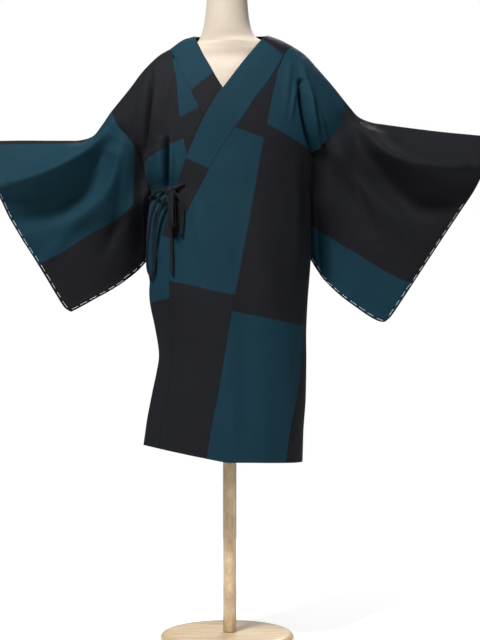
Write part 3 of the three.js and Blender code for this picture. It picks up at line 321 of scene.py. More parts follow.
# The edges between the blocks of each piece, as lines seen from the front, from the bottom up.
# The first entry is the lowest block's colour. x is the wearer's left.
BLOCKS = {
    "body_left": {
        "front": (TEAL, [(14, 747), (172, 715)], [(88, 1155), (116, 1140), (161, 1115)]),
        "back": (BLACK, [(0, 742), (170, 722)], [(0, 1148), (200, 1128)], [(0, 1262), (240, 1262)]),
    },
    "okumi_left": {
        "front": (BLACK, [(-123, 813), (-79, 804), (-36, 793), (18, 782)],
                  [(18, 1146), (81, 1124)]),
    },
    "collar_left": {
        "front": (BLACK, [(-165, 766), (-123, 776)], [(-146, 914), (-108, 902)],
                  [(-86, 1079), (-38, 1057)], [(78, 1350), (122, 1315)]),
        "back": (BLACK,),
    },
    "collar_right": {
        "front": (BLACK, [(-78, 1230), (-35, 1266)]),
        "back": (TEAL,),
    },
    "okumi_right": {"front": (BLACK, [(-102, 1171), (-60, 1193)])},
    "body_right": {
        "front": (BLACK, [(-160, 660), (-40, 668)],
                  [(-179, 1075), (-171, 1084), (-147, 1098), (-124, 1113), (-93, 1124)]),
        "back": (BLACK, [(-170, 806), (0, 818)], [(-240, 1222), (0, 1226)]),
    },
    "sleeve_right": {
        # The black block's edge turns straight up the sleeve's inner side, from (-210, 984) to
        # (-205, 1128). The black strip between it and the body is painted shade: black dye put
        # where the sleeve turns back into shadow beside the body.
        "front": (BLACK, [(-419, 853), (-372, 877), (-338, 899), (-315, 915), (-271, 939),
                          (-237, 961), (-210, 984), (-205, 1128), (-179, 1150)],
                  [(-546, 1122), (-322, 1124), (-300, 1155), (-254, 1205)]),
        "back": (TEAL, [(-450, 872), (-179, 1000)]),
    },
    "sleeve_left": {
        "front": (TEAL, [(410, 811), (386, 820), (341, 844), (296, 873), (263, 893), (229, 915)]),
        "back": (TEAL, [(180, 860), (470, 900)]),
    },
}


def line_height(line, x):
    """The height of a line at x, carried on straight past its ends."""
    xs, zs = np.array(sorted(line), float).T
    inside = np.interp(x, xs, zs)
    first = (zs[1] - zs[0]) / (xs[1] - xs[0])
    last = (zs[-1] - zs[-2]) / (xs[-1] - xs[-2])
    return inside + np.minimum(x - xs[0], 0) * first + np.maximum(x - xs[-1], 0) * last


def line_distance(line, x, z):
    """How far a place is from a line, which goes on straight past its ends."""
    corners = np.array(sorted(line), float)
    last = len(corners) - 2
    nearest = np.full(x.shape, np.inf)
    for i, (start, end) in enumerate(zip(corners[:-1], corners[1:])):
        dx, dz = end - start
        along = ((x - start[0]) * dx + (z - start[1]) * dz) / (dx * dx + dz * dz)
        along = np.clip(along, 0 if i else -np.inf, 1 if i < last else np.inf)
        distance = np.hypot(x - start[0] - along * dx, z - start[1] - along * dz)
        nearest = np.minimum(nearest, distance)
    return nearest


def dye_distance(lowest, *lines, x, z):
    """How far a place is inside a teal block (above 0) or a black one (below 0), in millimetres."""
    nearest = np.full(x.shape, 1e3)
    colour = np.full(x.shape, float(lowest))
    for line in lines:
        above = z - line_height(line, x)
        nearest = np.minimum(nearest, line_distance(line, x, z))
        colour = np.where(above > 0, -colour, colour)
    return nearest * colour


# ---------------------------------------------------------------- the coat's surfaces


def smooth_values(knots, values, places):
    """The values at places, on smooth curves through the values at the knots."""
    last = len(knots) - 1
    deeper = (1,) * (values.ndim - 1)
    near = np.arange(last + 1)
    low, high = np.maximum(near - 1, 0), np.minimum(near + 1, last)
    slopes = (values[high] - values[low]) / (knots[high] - knots[low]).reshape(-1, *deeper)
    i = np.clip(np.searchsorted(knots, places) - 1, 0, last - 1)
    span = np.reshape(knots[i + 1] - knots[i], np.shape(places) + deeper)
    t = np.clip(np.reshape(places - knots[i], span.shape) / span, 0, 1)
    start = values[i] * (1 + 2 * t) + slopes[i] * span * t
    end = values[i + 1] * (3 - 2 * t) + slopes[i + 1] * span * (t - 1)
    return start * (1 - t) ** 2 + end * t * t


def smooth_column(rows, key, name):
    """A smooth function through one column of a table, by its key column."""
    return lambda place: smooth_values(rows[key], rows[name], place)


section = {name: smooth_column(SECTIONS, "z", name) for name in SECTIONS if name != "z"}
side_front = smooth_column(SIDES, "z", "front")
side_back = smooth_column(SIDES, "z", "back")
ridge_height = smooth_column(RIDGE, "x", "z")

HALVES = {
    "left": SimpleNamespace(
        name="left", sign=1, rows=LEFT_FRONT, sleeve=LEFT_SLEEVE, own=section["left"],
        other=section["flap"], front=section["front"], hem_lift=0,
    ),
    "right": SimpleNamespace(
        name="right", sign=-1, rows=RIGHT_FRONT, sleeve=RIGHT_SLEEVE, own=section["right"],
        other=lambda z: section["left"](z) - LAYER, front=lambda z: section["front"](z) - LAYER,
        hem_lift=UNDER_HEM_LIFT,
    ),
}


def mix(start, end, share):
    return start + (end - start) * share


def smoothstep(value, low, high):
    t = np.clip((value - low) / (high - low), 0, 1)
    return t * t * (3 - 2 * t)


def point(x, y, z):
    return np.stack(np.broadcast_arrays(x, y, z), -1).astype(float)


def unit(vectors):
    return vectors / np.maximum(np.linalg.norm(vectors, axis=-1, keepdims=True), 1e-9)


def lifted_hem(half, x, z):
    """The hem isn't level, so the rows near it are lifted by less and less upwards."""
    fade = np.maximum(0, 1 - (z - HEM_Z) / HEM_FADE)
    across = x * half.sign
    left = 1 - (np.maximum(0, across) / section["left"](HEM_Z)) ** 2
    return z + (HEM_LIFT * left + HEM_SLOPE * np.maximum(0, -across) + half.hem_lift) * fade


def on_section(half, z, degrees):
    """A place on the body's section, at an angle from the front towards the half's own side."""
    wide = np.where(degrees >= 0, half.own(z), half.other(z))
    deep = np.where(np.abs(degrees) <= 90, half.front(z), section["back"](z))
    turn = np.radians(degrees)
    x = wide * np.sin(turn)
    return point(x, -deep * np.cos(turn), lifted_hem(half, x, z))


def angle_at(half, z, x):
    wide = np.where(x >= 0, half.own(z), half.other(z))
    return np.degrees(np.arcsin(np.clip(x / wide, -1, 1)))


def on_front(half, x, z):
    """A place on the half's front cloth, given as it is seen from the front."""
    x, z = np.broadcast_arrays(np.asarray(x, float), np.asarray(z, float))
    tube = on_section(half, z, angle_at(half, z, x))
    foot = on_section(half, YOKE_Z, angle_at(half, YOKE_Z, x))
    rise = np.clip((z - YOKE_Z) / (ridge_height(x * half.sign) - YOKE_Z), 0, 1)
    yoke = point(x, foot[..., 1] * np.sqrt(1 - rise**2), z)
    return np.where((z <= YOKE_Z)[..., None], tube, yoke)


def lengths_along(line):
    """How far each place of a line is from its start."""
    return np.concatenate([[0], np.cumsum(np.linalg.norm(np.diff(line, axis=0), axis=-1))])


def at_length(line, lengths, far):
    return np.stack([np.interp(far, lengths, line[:, k]) for k in range(3)], -1)


class Curve:
    """A centripetal Catmull-Rom curve through its places."""

    def __init__(self, places):
        self.places = np.array(places, float)
        knots = np.sqrt(np.linalg.norm(np.diff(self.places, axis=0), axis=-1))
        first = 2 * self.places[0] - self.places[1]
        last = 2 * self.places[-1] - self.places[-2]
        self.held = np.vstack([first, self.places, last])
        self.gaps = np.concatenate([knots[:1], knots, knots[-1:]])
        self.line = np.array([self.raw(share) for share in np.linspace(0, 1, CURVE_STEPS)])
        self.lengths = lengths_along(self.line)

    def raw(self, share):
        spans = len(self.places) - 1
        i = min(int(share * spans), spans - 1)
        t = share * spans - i
        a, b, c, d = self.held[i:i + 4]
        before, here, after = self.gaps[i:i + 3]
        start = ((b - a) / before - (c - a) / (before + here) + (c - b) / here) * here
        end = ((c - b) / here - (d - b) / (here + after) + (d - c) / after) * here
        first = (b * (1 + 2 * t) + start * t) * (1 - t) ** 2
        return first + (c * (3 - 2 * t) + end * (t - 1)) * t * t

    def at(self, share):
        """The place at a share of the length."""
        return at_length(self.line, self.lengths, np.asarray(share) * self.lengths[-1])


def ridge_row(half):
    return {name: values[-1] for name, values in half.rows.items()}


def neck_seam(ridge, share):
    """The neckline, from the ridge to the centre back."""
    turn = share * math.pi / 2
    return point(ridge["seam"] * math.cos(turn), NECK_BACK_Y * math.sin(turn),
                 mix(ridge["z"], NECK_BACK_Z, share))


def collar_top(ridge, share):
    turn = share * math.pi / 2
    return point(ridge["edge"] * math.cos(turn), COLLAR_TOP_Y * math.sin(turn),
                 mix(ridge["z"] + ridge["rise"], COLLAR_TOP_Z, share))


def centre_back(share):
    return point(0, mix(NECK_BACK_Y, section["back"](YOKE_Z), share),
                 mix(NECK_BACK_Z, YOKE_Z, share))


def ridge_bulge(half, share):
    seam, shoulder = half.rows["seam"][-1], half.sleeve["shoulder"][0][0]
    height = ridge_height(mix(seam, shoulder, share) * half.sign)
    return height - mix(ridge_height(seam * half.sign), ridge_height(shoulder * half.sign), share)


def yoke_row(half, shares, foot, start, end, angle):
    """A row of the yoke, between its ends, bulging as the section below it and the ridge do."""
    row = mix(start, end, shares[:, None])
    chord = mix(foot[0], foot[-1], shares[:, None])
    row = row + (foot - chord) * math.cos(angle)
    row[:, 2] += ridge_bulge(half, shares) * math.sin(angle)
    return row


def strip_grid(half):
    """A half's body strip, as rows from the front hem up to the ridge and down to the back hem."""
    shares = np.linspace(0, 1, BODY_COLUMNS + 1)
    rows, ridge = half.rows, ridge_row(half)

    def tube_row(z, start, end):
        return on_section(half, z, mix(start, end, shares))

    tube = [z for z in rows["z"] if z <= YOKE_Z]
    front = [tube_row(z, angle_at(half, z, x), side_front(z)) for z, x in zip(tube, rows["okumi"])]
    foot = front[-1]
    rail = Curve([foot[-1], *half.sleeve["armhole_front"][::-1], *half.sleeve["shoulder"]])
    for x, z in list(zip(rows["okumi"], rows["z"]))[len(tube):]:
        angle = math.asin(min(1, (z - YOKE_Z) / (ridge["z"] - YOKE_Z)))
        start = point(ridge["seam"], 0, z) if z == ridge["z"] else on_front(half, x, z)
        front.append(yoke_row(half, shares, foot, start, rail.at(angle / (math.pi / 2)), angle))

    back_foot = tube_row(YOKE_Z, 180, side_back(YOKE_Z))
    rail = Curve([back_foot[-1], *half.sleeve["armhole_back"][::-1], *half.sleeve["shoulder"]])
    back = []
    count = NECK_ROWS + BACK_YOKE_ROWS
    for i in range(1, count):
        share = 1 - i / count
        start = neck_seam(ridge, i / NECK_ROWS)
        if i > NECK_ROWS:
            start = centre_back((i - NECK_ROWS) / BACK_YOKE_ROWS)
        back.append(yoke_row(half, shares, back_foot, start, rail.at(share), share * math.pi / 2))
    back.append(back_foot)
    back += [tube_row(z, 180, side_back(z)) for z in tube[-2::-1]]
    return np.array(front), np.array(back)


def band_grid(half, start, end, columns, rows):
    """The rows of a band of the front, between two lines given as they are seen from the front."""
    shares = np.linspace(0, 1, columns + 1)
    lines = zip(start[0], end[0], start[1], end[1])
    return np.array([on_front(half, mix(x0, x1, shares), mix(z0, z1, shares))
                     for x0, x1, z0, z1 in list(lines)[:rows]])


def okumi_grid(half):
    rows = half.rows
    return band_grid(half, (rows["seam"], rows["z"]), (rows["okumi"], rows["z"]), OKUMI_COLUMNS,
                     OKUMI_ROWS)


def collar_grid(half):
    rows, ridge = half.rows, ridge_row(half)
    edge = (rows["edge"], rows["z"] + rows["rise"])
    seam = (rows["seam"], rows["z"])
    grid = list(band_grid(half, edge, seam, COLLAR_COLUMNS, len(rows["z"]) - 1))
    shares = np.linspace(0, 1, COLLAR_COLUMNS + 1)
    crown = [ridge_height(x * half.sign) for x in (ridge["edge"], ridge["seam"])]
    middle = ridge_height(mix(ridge["edge"], ridge["seam"], shares) * half.sign)
    for i in range(NECK_ROWS + 1):
        top, seam = collar_top(ridge, i / NECK_ROWS), neck_seam(ridge, i / NECK_ROWS)
        row = mix(top, seam, shares[:, None])
        row[:, 2] += (middle - mix(crown[0], crown[1], shares)) * (1 - i / NECK_ROWS)
        grid.append(row)
    return np.array(grid)


def sewn_edge(strip, face):
    """The strip's outer edge from the shoulder down to the armhole's foot, and its length."""
    front, back = strip
    rows = front[::-1] if face == "front" else np.concatenate([front[-1:], back])
    edge = rows[:, -1]
    edge = edge[edge[:, 2] > ARMHOLE_Z - 1]
    return edge, lengths_along(edge)


def sleeve_grid(half, strip):
    """A sleeve's rings from body to cuff, each from the top down the front and up the back."""
    sleeve = half.sleeve
    top = Curve(sleeve["shoulder"] + sleeve["top"] + sleeve["tip"])
    bottom = Curve(sleeve["inner"] + sleeve["bottom"] + sleeve["corner"])
    p = np.array(SLEEVE_COLUMNS, float)[:, None]
    faces = []
    for face, out in (("front", -1), ("back", 1)):
        edge, lengths = sewn_edge(strip, face)
        free = Curve([edge[-1], *sleeve[f"free_{face}"], *sleeve["inner"]])
        cuff = Curve(sleeve["tip"] + sleeve[f"cuff_{face}"] + sleeve["corner"])
        sewn = lengths / SLEEVE_DROP
        start = np.concatenate([edge, free.at(SLEEVE_FREE_ROWS)])
        q = np.concatenate([sewn, mix(sewn[-1], 1, np.array(SLEEVE_FREE_ROWS))])[None, :]
        flat = mix(mix(top.at(0), top.at(1), p[..., None]),
                   mix(bottom.at(0), bottom.at(1), p[..., None]), q[..., None])
        grid = (mix(start[None], cuff.at(q), p[..., None])
                + mix(top.at(p), bottom.at(p), q[..., None]) - flat)
        near_bottom = np.minimum(1, (1 - q) * SLEEVE_DROP / SLEEVE_PUFF)
        near_top = np.minimum(1, q * SLEEVE_DROP / SLEEVE_PUFF)
        pinch = mix(SLEEVE_PUFF, CUFF_PINCH, smoothstep(p, *CUFF_SHARES))
        pinch = pinch * smoothstep(p, *INNER_SHARES)
        ends = near_top * (2 - near_top) * near_bottom * (2 - near_bottom)
        grid[..., 1] += out * pinch * np.sqrt(ends)
        grid[0, :, 0] += SEWN_CLEARANCE
        faces.append(grid)
    fold = bottom.at(p)
    return np.concatenate([faces[0], fold, faces[1][:, :0:-1]], axis=1)


# ---------------------------------------------------------------- folds


def fold_heights(rows, x, z):
    """The height of the folds of a table at places seen from the front."""
    height = np.zeros(x.shape)
    shares = np.linspace(0, 1, FOLD_STEPS + 1)[:, None]
    for x0, z0, x1, z1, x2, z2, wide, high in rows:
        reach = max(abs(x1 - x0), abs(x2 - x1)) + abs(x2 - x0) + 4 * wide
        near = np.abs(x - (x0 + x2) / 2) < reach
        if not near.any():
            continue
        line = ((1 - shares) ** 2 * (x0, z0) + 2 * shares * (1 - shares) * (x1, z1)
                + shares**2 * (x2, z2))
        px, pz = x[near], z[near]
        best, share = np.full(px.shape, np.inf), np.zeros(px.shape)
        for i in range(FOLD_STEPS):
            (ax, az), (dx, dz) = line[i], line[i + 1] - line[i]
            t = np.clip(((px - ax) * dx + (pz - az) * dz) / (dx * dx + dz * dz), 0, 1)
            distance = np.hypot(px - ax - t * dx, pz - az - t * dz)
            share = np.where(distance < best, (i + t) / FOLD_STEPS, share)
            best = np.minimum(best, distance)
        taper = np.sqrt(np.sin(np.pi * np.clip(share, FOLD_TAPER, 1 - FOLD_TAPER)))
        height[near] += high * taper * np.exp(-((best / wide) ** 2))
    return height


def ripple(x, z, seed):
    """Soft unevenness of hanging cloth, longer upwards than across."""
    def waves(wide, high, seed):
        return np.array([noise.noise(Vector((a / wide, b / high, seed)))
                         for a, b in zip(x.ravel(), z.ravel())]).reshape(x.shape)

    return waves(*RIPPLE_LONG, seed) + 0.5 * waves(*RIPPLE_SHORT, seed + 9)


def folded(half, face, grid):
    """Folds stand out towards the front or back, and slantwise near the body's sides."""
    x, z = grid[..., 0], grid[..., 2]
    reach = np.minimum(np.abs(x), SLANT_LIMIT) / SLANT_SPAN
    slant = reach**2 * (1 - smoothstep(np.abs(x), *SLANT_FADE))
    out = unit(point(np.sign(x) * slant, -1 if face == "front" else 1, 0))
    key = (half.name, face)
    height = fold_heights(FOLDS[key], x, z) + fold_heights(CREASES[key], x, z)
    height += RIPPLE_HEIGHT * ripple(x * half.sign, z, RIPPLE_SEEDS[face])
    return grid + out * height[..., None]


# ---------------------------------------------------------------- fine grids and shells


def refined(grid, axis, step=MESH_STEP, edges=EDGE_STEPS):
    """The grid with more points along an axis, on smooth curves through its own."""
    grid = np.moveaxis(grid, axis, 0)
    gaps = np.linalg.norm(np.diff(grid, axis=0), axis=-1).mean(axis=1)
    knots = np.concatenate([[0], np.cumsum(gaps)])
    places = [np.linspace(a, b, max(1, math.ceil((b - a) / step)), endpoint=False)
              for a, b in zip(knots[:-1], knots[1:])]
    ends = [knots[-1], *edges, *(knots[-1] - edge for edge in edges)]
    places = np.unique(np.round(np.concatenate([*places, ends]), 3))
    places = places[np.append(np.diff(places) > MESH_GAP, True)]
    places[[0, -1]] = knots[[0, -1]]
    return np.moveaxis(smooth_values(knots, grid, places), 0, axis)


def grid_normals(grid, ring):
    across = np.gradient(grid, axis=1)
    if ring:
        across = (np.roll(grid, -1, axis=1) - np.roll(grid, 1, axis=1)) / 2
    normals = np.cross(np.gradient(grid, axis=0), across)
    normals[np.abs(grid[..., 0]) < SEAM_GAP, 0] = 0
    return unit(normals)


def edge_lengths(grid, axis):
    steps = np.linalg.norm(np.diff(grid, axis=axis), axis=-1)
    pad = [(0, 0), (0, 0)]
    pad[axis] = (1, 0)
    return np.pad(np.cumsum(steps, axis=axis), pad)


def inset(grid, first, last):
    grid = grid.copy()
    grid[:, 0] += unit(grid[:, 1] - grid[:, 0]) * first
    grid[:, -1] += unit(grid[:, -2] - grid[:, -1]) * last
    return grid


def mirrored(grid, sign):
    return grid * (sign, 1, 1)


def new_object(name, points, faces, slot):
    mesh = bpy.data.meshes.new(name)
    mesh.from_pydata((np.asarray(points, float).reshape(-1, 3) * MM).tolist(), [], faces)
    mesh.update()
    obj = bpy.data.objects.new(name, mesh)
    bpy.context.scene.collection.objects.link(obj)
    mesh.materials.append(MATERIALS[slot])
    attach(obj, BODY)
    return obj


def set_uvs(obj, uvs):
    """Gives the corners the flat places of their points, in millimetres, as UVs in metres."""
    mesh = obj.data
    loops = np.empty(len(mesh.loops), int)
    mesh.loops.foreach_get("vertex_index", loops)
    mesh.uv_layers.new(name="cloth").data.foreach_set("uv", (uvs * MM)[loops].ravel())


def shell(name, grid, wall, slot, blocks, ring=False):
    """A closed cloth wall about a grid, with its flat sizes as UVs and its block colours."""
    rows, columns = grid.shape[:2]
    thick = np.full((rows, columns), wall / 2)
    thick[[0, -1]] *= EDGE_THIN
    if not ring:
        thick[:, [0, -1]] *= EDGE_THIN
    offset = grid_normals(grid, ring) * thick[..., None]
    points = np.concatenate([(grid + offset).reshape(-1, 3), (grid - offset).reshape(-1, 3)])

    index = np.arange(rows * columns).reshape(rows, columns)
    wide = np.concatenate([index, index[:, :1]], axis=1) if ring else index
    a, b, c, d = wide[:-1, :-1], wide[:-1, 1:], wide[1:, 1:], wide[1:, :-1]
    top = np.stack([a, b, c, d], -1).reshape(-1, 4)
    bottom = np.stack([a, d, c, b], -1).reshape(-1, 4) + rows * columns
    if ring:
        rims = [wide[0], wide[-1, ::-1]]
    else:
        rims = [np.concatenate([index[0], index[1:, -1], index[-1, -2::-1], index[-2::-1, 0]])]
    sides = []
    for rim in rims:
        below = rim + rows * columns
        sides.append(np.stack([rim[:-1], below[:-1], below[1:], rim[1:]], -1))
    faces = np.concatenate([top, bottom, *sides])

    obj = new_object(name, points, faces.tolist(), slot)
    obj.data.polygons.foreach_set("use_smooth", np.arange(len(faces)) < 2 * len(top))
    u = edge_lengths(grid, 1)
    v = edge_lengths(grid, 0)[:, :1] * np.ones((1, columns))
    set_uvs(obj, np.tile(np.stack([u, v], -1).reshape(-1, 2), (2, 1)))
    attribute = obj.data.attributes.new("dye", "FLOAT", "POINT")
    attribute.data.foreach_set("value", np.tile(blocks.ravel(), 2))
    make_outward(obj)
    return obj


def ring_faces(rows, columns):
    """The faces between rings of points."""
    index = np.arange(rows * columns).reshape(rows, columns)
    wrap = np.roll(index, -1, axis=1)
    return np.stack([index[:-1], wrap[:-1], wrap[1:], index[1:]], -1).reshape(-1, 4)


def make_outward(obj):
    """Turns a closed mesh's faces outwards."""
    mesh = obj.data
    mesh.calc_loop_triangles()
    co = np.empty(len(mesh.vertices) * 3)
    mesh.vertices.foreach_get("co", co)
    co = co.reshape(-1, 3)
    tris = np.empty(len(mesh.loop_triangles) * 3, int)
    mesh.loop_triangles.foreach_get("vertices", tris)
    a, b, c = (co[tris.reshape(-1, 3)[:, k]] for k in range(3))
    if np.einsum("ij,ij->", a, np.cross(b, c)) < 0:
        mesh.flip_normals()


def piece_blocks(name, grid, back):
    """The block colours of a piece's grid; back is where it lies behind the shoulder's ridge."""
    x, z = grid[..., 0], grid[..., 2]
    edges = BLOCKS[name]
    front_dye = dye_distance(*edges["front"], x=x, z=z)
    if "back" not in edges:
        return front_dye
    return np.where(back, dye_distance(*edges["back"], x=x, z=z), front_dye)


# ---------------------------------------------------------------- materials


class Nodes:
    """A material's nodes, made one after the other."""

    def __init__(self, name, roughness, **settings):
        self.material = bpy.data.materials.new(name)
        self.material.use_nodes = True
        self.tree = self.material.node_tree
        self.shader = self.tree.nodes["Principled BSDF"]
        self.fill(self.shader, {"Roughness": roughness})
        self.fill(self.shader, {key.replace("_", " "): value for key, value in settings.items()})

    def fill(self, node, inputs):
        """Sets or links a node's inputs."""
        for key, value in inputs.items():
            if isinstance(value, bpy.types.NodeSocket):
                self.tree.links.new(value, node.inputs[key])
            else:
                node.inputs[key].default_value = value

    def add(self, kind, inputs=(), **settings):
        node = self.tree.nodes.new(kind)
        for key, value in settings.items():
            setattr(node, key, value)
        self.fill(node, dict(inputs))
        return node

    def maths(self, operation, first, second):
        return self.add("ShaderNodeMath", {0: first, 1: second}, operation=operation).outputs[0]

    def ramp(self, value, low, high, start, end):
        inputs = {"Value": value, "From Min": low, "From Max": high, "To Min": start, "To Max": end}
        return self.add("ShaderNodeMapRange", inputs).outputs[0]

    def noise(self, place, scale, detail=2.0):
        """Noise at a place, stretched where the scale is three numbers."""
        if isinstance(scale, tuple):
            place = self.add("ShaderNodeMapping", {"Vector": place, "Scale": scale}).outputs[0]
            scale = 1.0
        inputs = {"Vector": place, "Scale": scale, "Detail": detail}
        return self.add("ShaderNodeTexNoise", inputs).outputs[0]

    def spread(self, value, start, end):
        """Noise spread out between two numbers."""
        return self.ramp(value, 0.3, 0.7, start, end)

    def blend(self, share, first, second, blend_type="MIX"):
        node = self.add("ShaderNodeMix", {0: share, 6: first, 7: second}, data_type="RGBA",
                        blend_type=blend_type)
        return node.outputs[2]

    def shaded(self, base, shade):
        """Makes the shader's colour the base colour, times a shade."""
        grey = self.add("ShaderNodeCombineColor", {0: shade, 1: shade, 2: shade}).outputs[0]
        self.fill(self.shader, {"Base Color": self.blend(1.0, base, grey, "MULTIPLY")})

    def bump(self, height, distance, strength, **under):
        inputs = {"Height": height, "Distance": distance, "Strength": strength, **under}
        normal = self.add("ShaderNodeBump", inputs).outputs[0]
        self.fill(self.shader, {"Normal": normal})
        return normal


TEAL_DYE = (0.0034, 0.0200, 0.0310, 1)
BLACK_DYE = (0.0060, 0.0063, 0.0080, 1)
THREADS_PER_METRE = 950.0
THREAD_WOBBLE = 2.5  # in radians
DYE_BLEED = 0.7  # half the width of a block's soft edge, in millimetres
DYE_RAGGED = 1.6


def cloth_material(name, dyed=True):
    """Fine plain-woven cloth with uneven weft threads, a soft sheen and dyed blocks."""
    nodes = Nodes(name, 0.62, Sheen_Weight=0.012, Sheen_Roughness=0.45,
                  Sheen_Tint=(0.62, 0.72, 0.85, 1), Specular_IOR_Level=0.06)
    uv = nodes.add("ShaderNodeUVMap", uv_map="cloth").outputs[0]
    axes = nodes.add("ShaderNodeSeparateXYZ", {0: uv}).outputs
    wobble = nodes.maths("MULTIPLY", nodes.noise(uv, 90.0, 3.0), THREAD_WOBBLE)
    threads = []
    for axis in (0, 1):
        turns = nodes.maths("MULTIPLY", axes[axis], THREADS_PER_METRE * 2 * math.pi)
        threads.append(nodes.maths("SINE", nodes.maths("ADD", turns, wobble), 0.0))
    weave = nodes.maths("MULTIPLY", *threads)
    slub = nodes.noise(uv, (55.0, 900.0, 1.0))
    base = BLACK_DYE
    if dyed:
        dye = nodes.add("ShaderNodeAttribute", attribute_name="dye").outputs["Fac"]
        rib = nodes.maths("SUBTRACT", nodes.noise(uv, (700.0, 30.0, 1.0)), 0.5)
        ragged = nodes.maths("ADD", dye, nodes.maths("MULTIPLY", rib, DYE_RAGGED))
        base = nodes.blend(nodes.ramp(ragged, -DYE_BLEED, DYE_BLEED, 0.0, 1.0), BLACK_DYE, TEAL_DYE)
    shade = nodes.maths("MULTIPLY", nodes.spread(slub, 0.86, 1.14),
                        nodes.spread(nodes.noise(uv, 7.0, 3.0), 0.93, 1.07))
    nodes.shaded(base, nodes.maths("MULTIPLY", shade, nodes.ramp(weave, -1.0, 1.0, 0.92, 1.06)))
    nodes.fill(nodes.shader, {"Roughness": nodes.spread(slub, 0.55, 0.68)})
    nodes.bump(weave, 0.00012, 0.8, Normal=nodes.bump(slub, 0.00025, 0.6))
    return nodes.material


def plain_material(name, roughness, mottle, colours, grain, shades, bump, **settings):
    """A surface between two colours, with a fine grain; mottle and grain are noises' settings."""
    nodes = Nodes(name, roughness, **settings)
    place = nodes.add("ShaderNodeTexCoord").outputs["Object"]
    mottled, fine = nodes.noise(place, *mottle), nodes.noise(place, *grain)
    base = nodes.blend(nodes.spread(mottled, 0.0, 1.0), *colours)
    nodes.shaded(base, nodes.spread(fine, *shades))
    of, distance, strength = bump
    nodes.bump({"mottle": mottled, "grain": fine}[of], distance, strength)
    return nodes.material


# ---------------------------------------------------------------- the stage


FLOOR_RADIUS = 1.7
AMBIENT = 0.19  # the white backdrop's own light on the object
CAMERA_PLACE = (0.029, -3.5, 0.728)
LENS = 87.9
LIGHTS = {  # place, target, size, watts
    "key": ((-1.2, -2.0, 4.1), (0, 0, 0.95), 0.9, 360),
    "fill": ((2.6, -2.8, 1.9), (0, 0, 0.95), 1.8, 45),
    "rim": ((0.6, 2.8, 2.6), (0, 0, 1.0), 1.6, 85),
}


def area_light(name, place, target, size, watts):
    light = bpy.data.lights.new(name, "AREA")
    light.shape = "SQUARE"
    light.size = size
    light.energy = watts
    obj = bpy.data.objects.new(name, light)
    obj.location = place
    obj.rotation_euler = (Vector(target) - Vector(place)).to_track_quat("-Z", "Y").to_euler()
    bpy.context.scene.collection.objects.link(obj)


def build_stage():
    scene = bpy.context.scene
    scene.view_settings.view_transform = "Standard"
    scene.view_settings.look = "None"
    camera = bpy.data.cameras.new("camera")
    camera.sensor_fit = "VERTICAL"
    camera.sensor_height = 36.0
    camera.lens = LENS
    view = bpy.data.objects.new("camera", camera)
    view.location = CAMERA_PLACE
    view.rotation_euler = (math.pi / 2, 0, 0)
    scene.collection.objects.link(view)
    scene.camera = view

    world = bpy.data.worlds.new("studio")
    world.use_nodes = True
    tree = world.node_tree
    rays = tree.nodes.new("ShaderNodeLightPath")
    bright = tree.nodes.new("ShaderNodeMapRange")
    bright.inputs["To Min"].default_value = AMBIENT
    tree.links.new(rays.outputs["Is Camera Ray"], bright.inputs["Value"])
    background = tree.nodes["Background"]
    background.inputs["Color"].default_value = (1, 1, 1, 1)
    tree.links.new(bright.outputs[0], background.inputs["Strength"])
    scene.world = world
    for name, settings in LIGHTS.items():
        area_light(name, *settings)

    turns = np.linspace(0, 2 * math.pi, 96, endpoint=False)
    rim = [(FLOOR_RADIUS * math.cos(t), FLOOR_RADIUS * math.sin(t), 0) for t in turns]
    mesh = bpy.data.meshes.new("floor")
    mesh.from_pydata(rim, [], [tuple(range(len(rim)))])
    floor = bpy.data.objects.new("floor", mesh)
    scene.collection.objects.link(floor)
    paint = Nodes("floor", 0.6, Base_Color=(0.75, 0.75, 0.75, 1), Specular_IOR_Level=0.1,
                  Emission_Color=(1, 1, 1, 1), Emission_Strength=0.4)
    mesh.materials.append(paint.material)


build_stage()

MATERIALS = {
    "coat_cloth": cloth_material("coat_cloth"),
    "tie_cloth": cloth_material("tie_cloth", dyed=False),
    "basting_thread": plain_material(
        "basting_thread", 0.8, (1800.0, 1.0), ((0.55, 0.54, 0.52, 1), (0.70, 0.69, 0.66, 1)),
        (1800.0, 1.0), (1.0, 1.0), ("mottle", 0.0002, 0.5),
    ),
    "form_cover": plain_material(
        "form_cover", 0.72, (9.0, 4.0), ((0.32, 0.27, 0.21, 1), (0.36, 0.305, 0.24, 1)),
        ((900.0, 900.0, 620.0),), (0.93, 1.04), ("grain", 0.0003, 0.5), Sheen_Weight=0.15,
    ),
    "stand_wood": plain_material(
        "stand_wood", 0.38, ((14.0, 160.0, 22.0), 6.0),
        ((0.30, 0.20, 0.11, 1), (0.50, 0.38, 0.23, 1)), ((120.0, 900.0, 120.0),), (0.85, 1.08),
        ("mottle", 0.0004, 0.4), Coat_Weight=0.25, Coat_Roughness=0.25,
    ),
}

# ---------------------------------------------------------------- the coat


def add_cloth(half, piece, grid, wall, behind, ring=False):
    """One piece of the coat; behind tells which of its places lie behind the shoulder's ridge."""
    name = f"{piece}_{half.name}"
    grid = mirrored(grid, half.sign)
    obj = shell(f"{name}_cloth", grid, wall, "coat_cloth", piece_blocks(name, grid, behind), ring)
    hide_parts(name)


def ranked(grid, axis):
    """The grid with each place's rank along an axis as a fourth number."""
    ranks = np.arange(grid.shape[axis], dtype=float)
    ranks = ranks[:, None] if axis == 0 else ranks[None, :]
    return np.concatenate([grid, np.broadcast_to(ranks, grid.shape[:2])[..., None]], -1)


def folded_round(half, grid, behind, near_front):
    """Folds on both faces, which fade out where one face goes over into the other."""
    faces = [folded(half, face, grid) for face in ("front", "back")]
    return mix(grid, np.where(behind[..., None], faces[1], faces[0]), near_front[..., None])


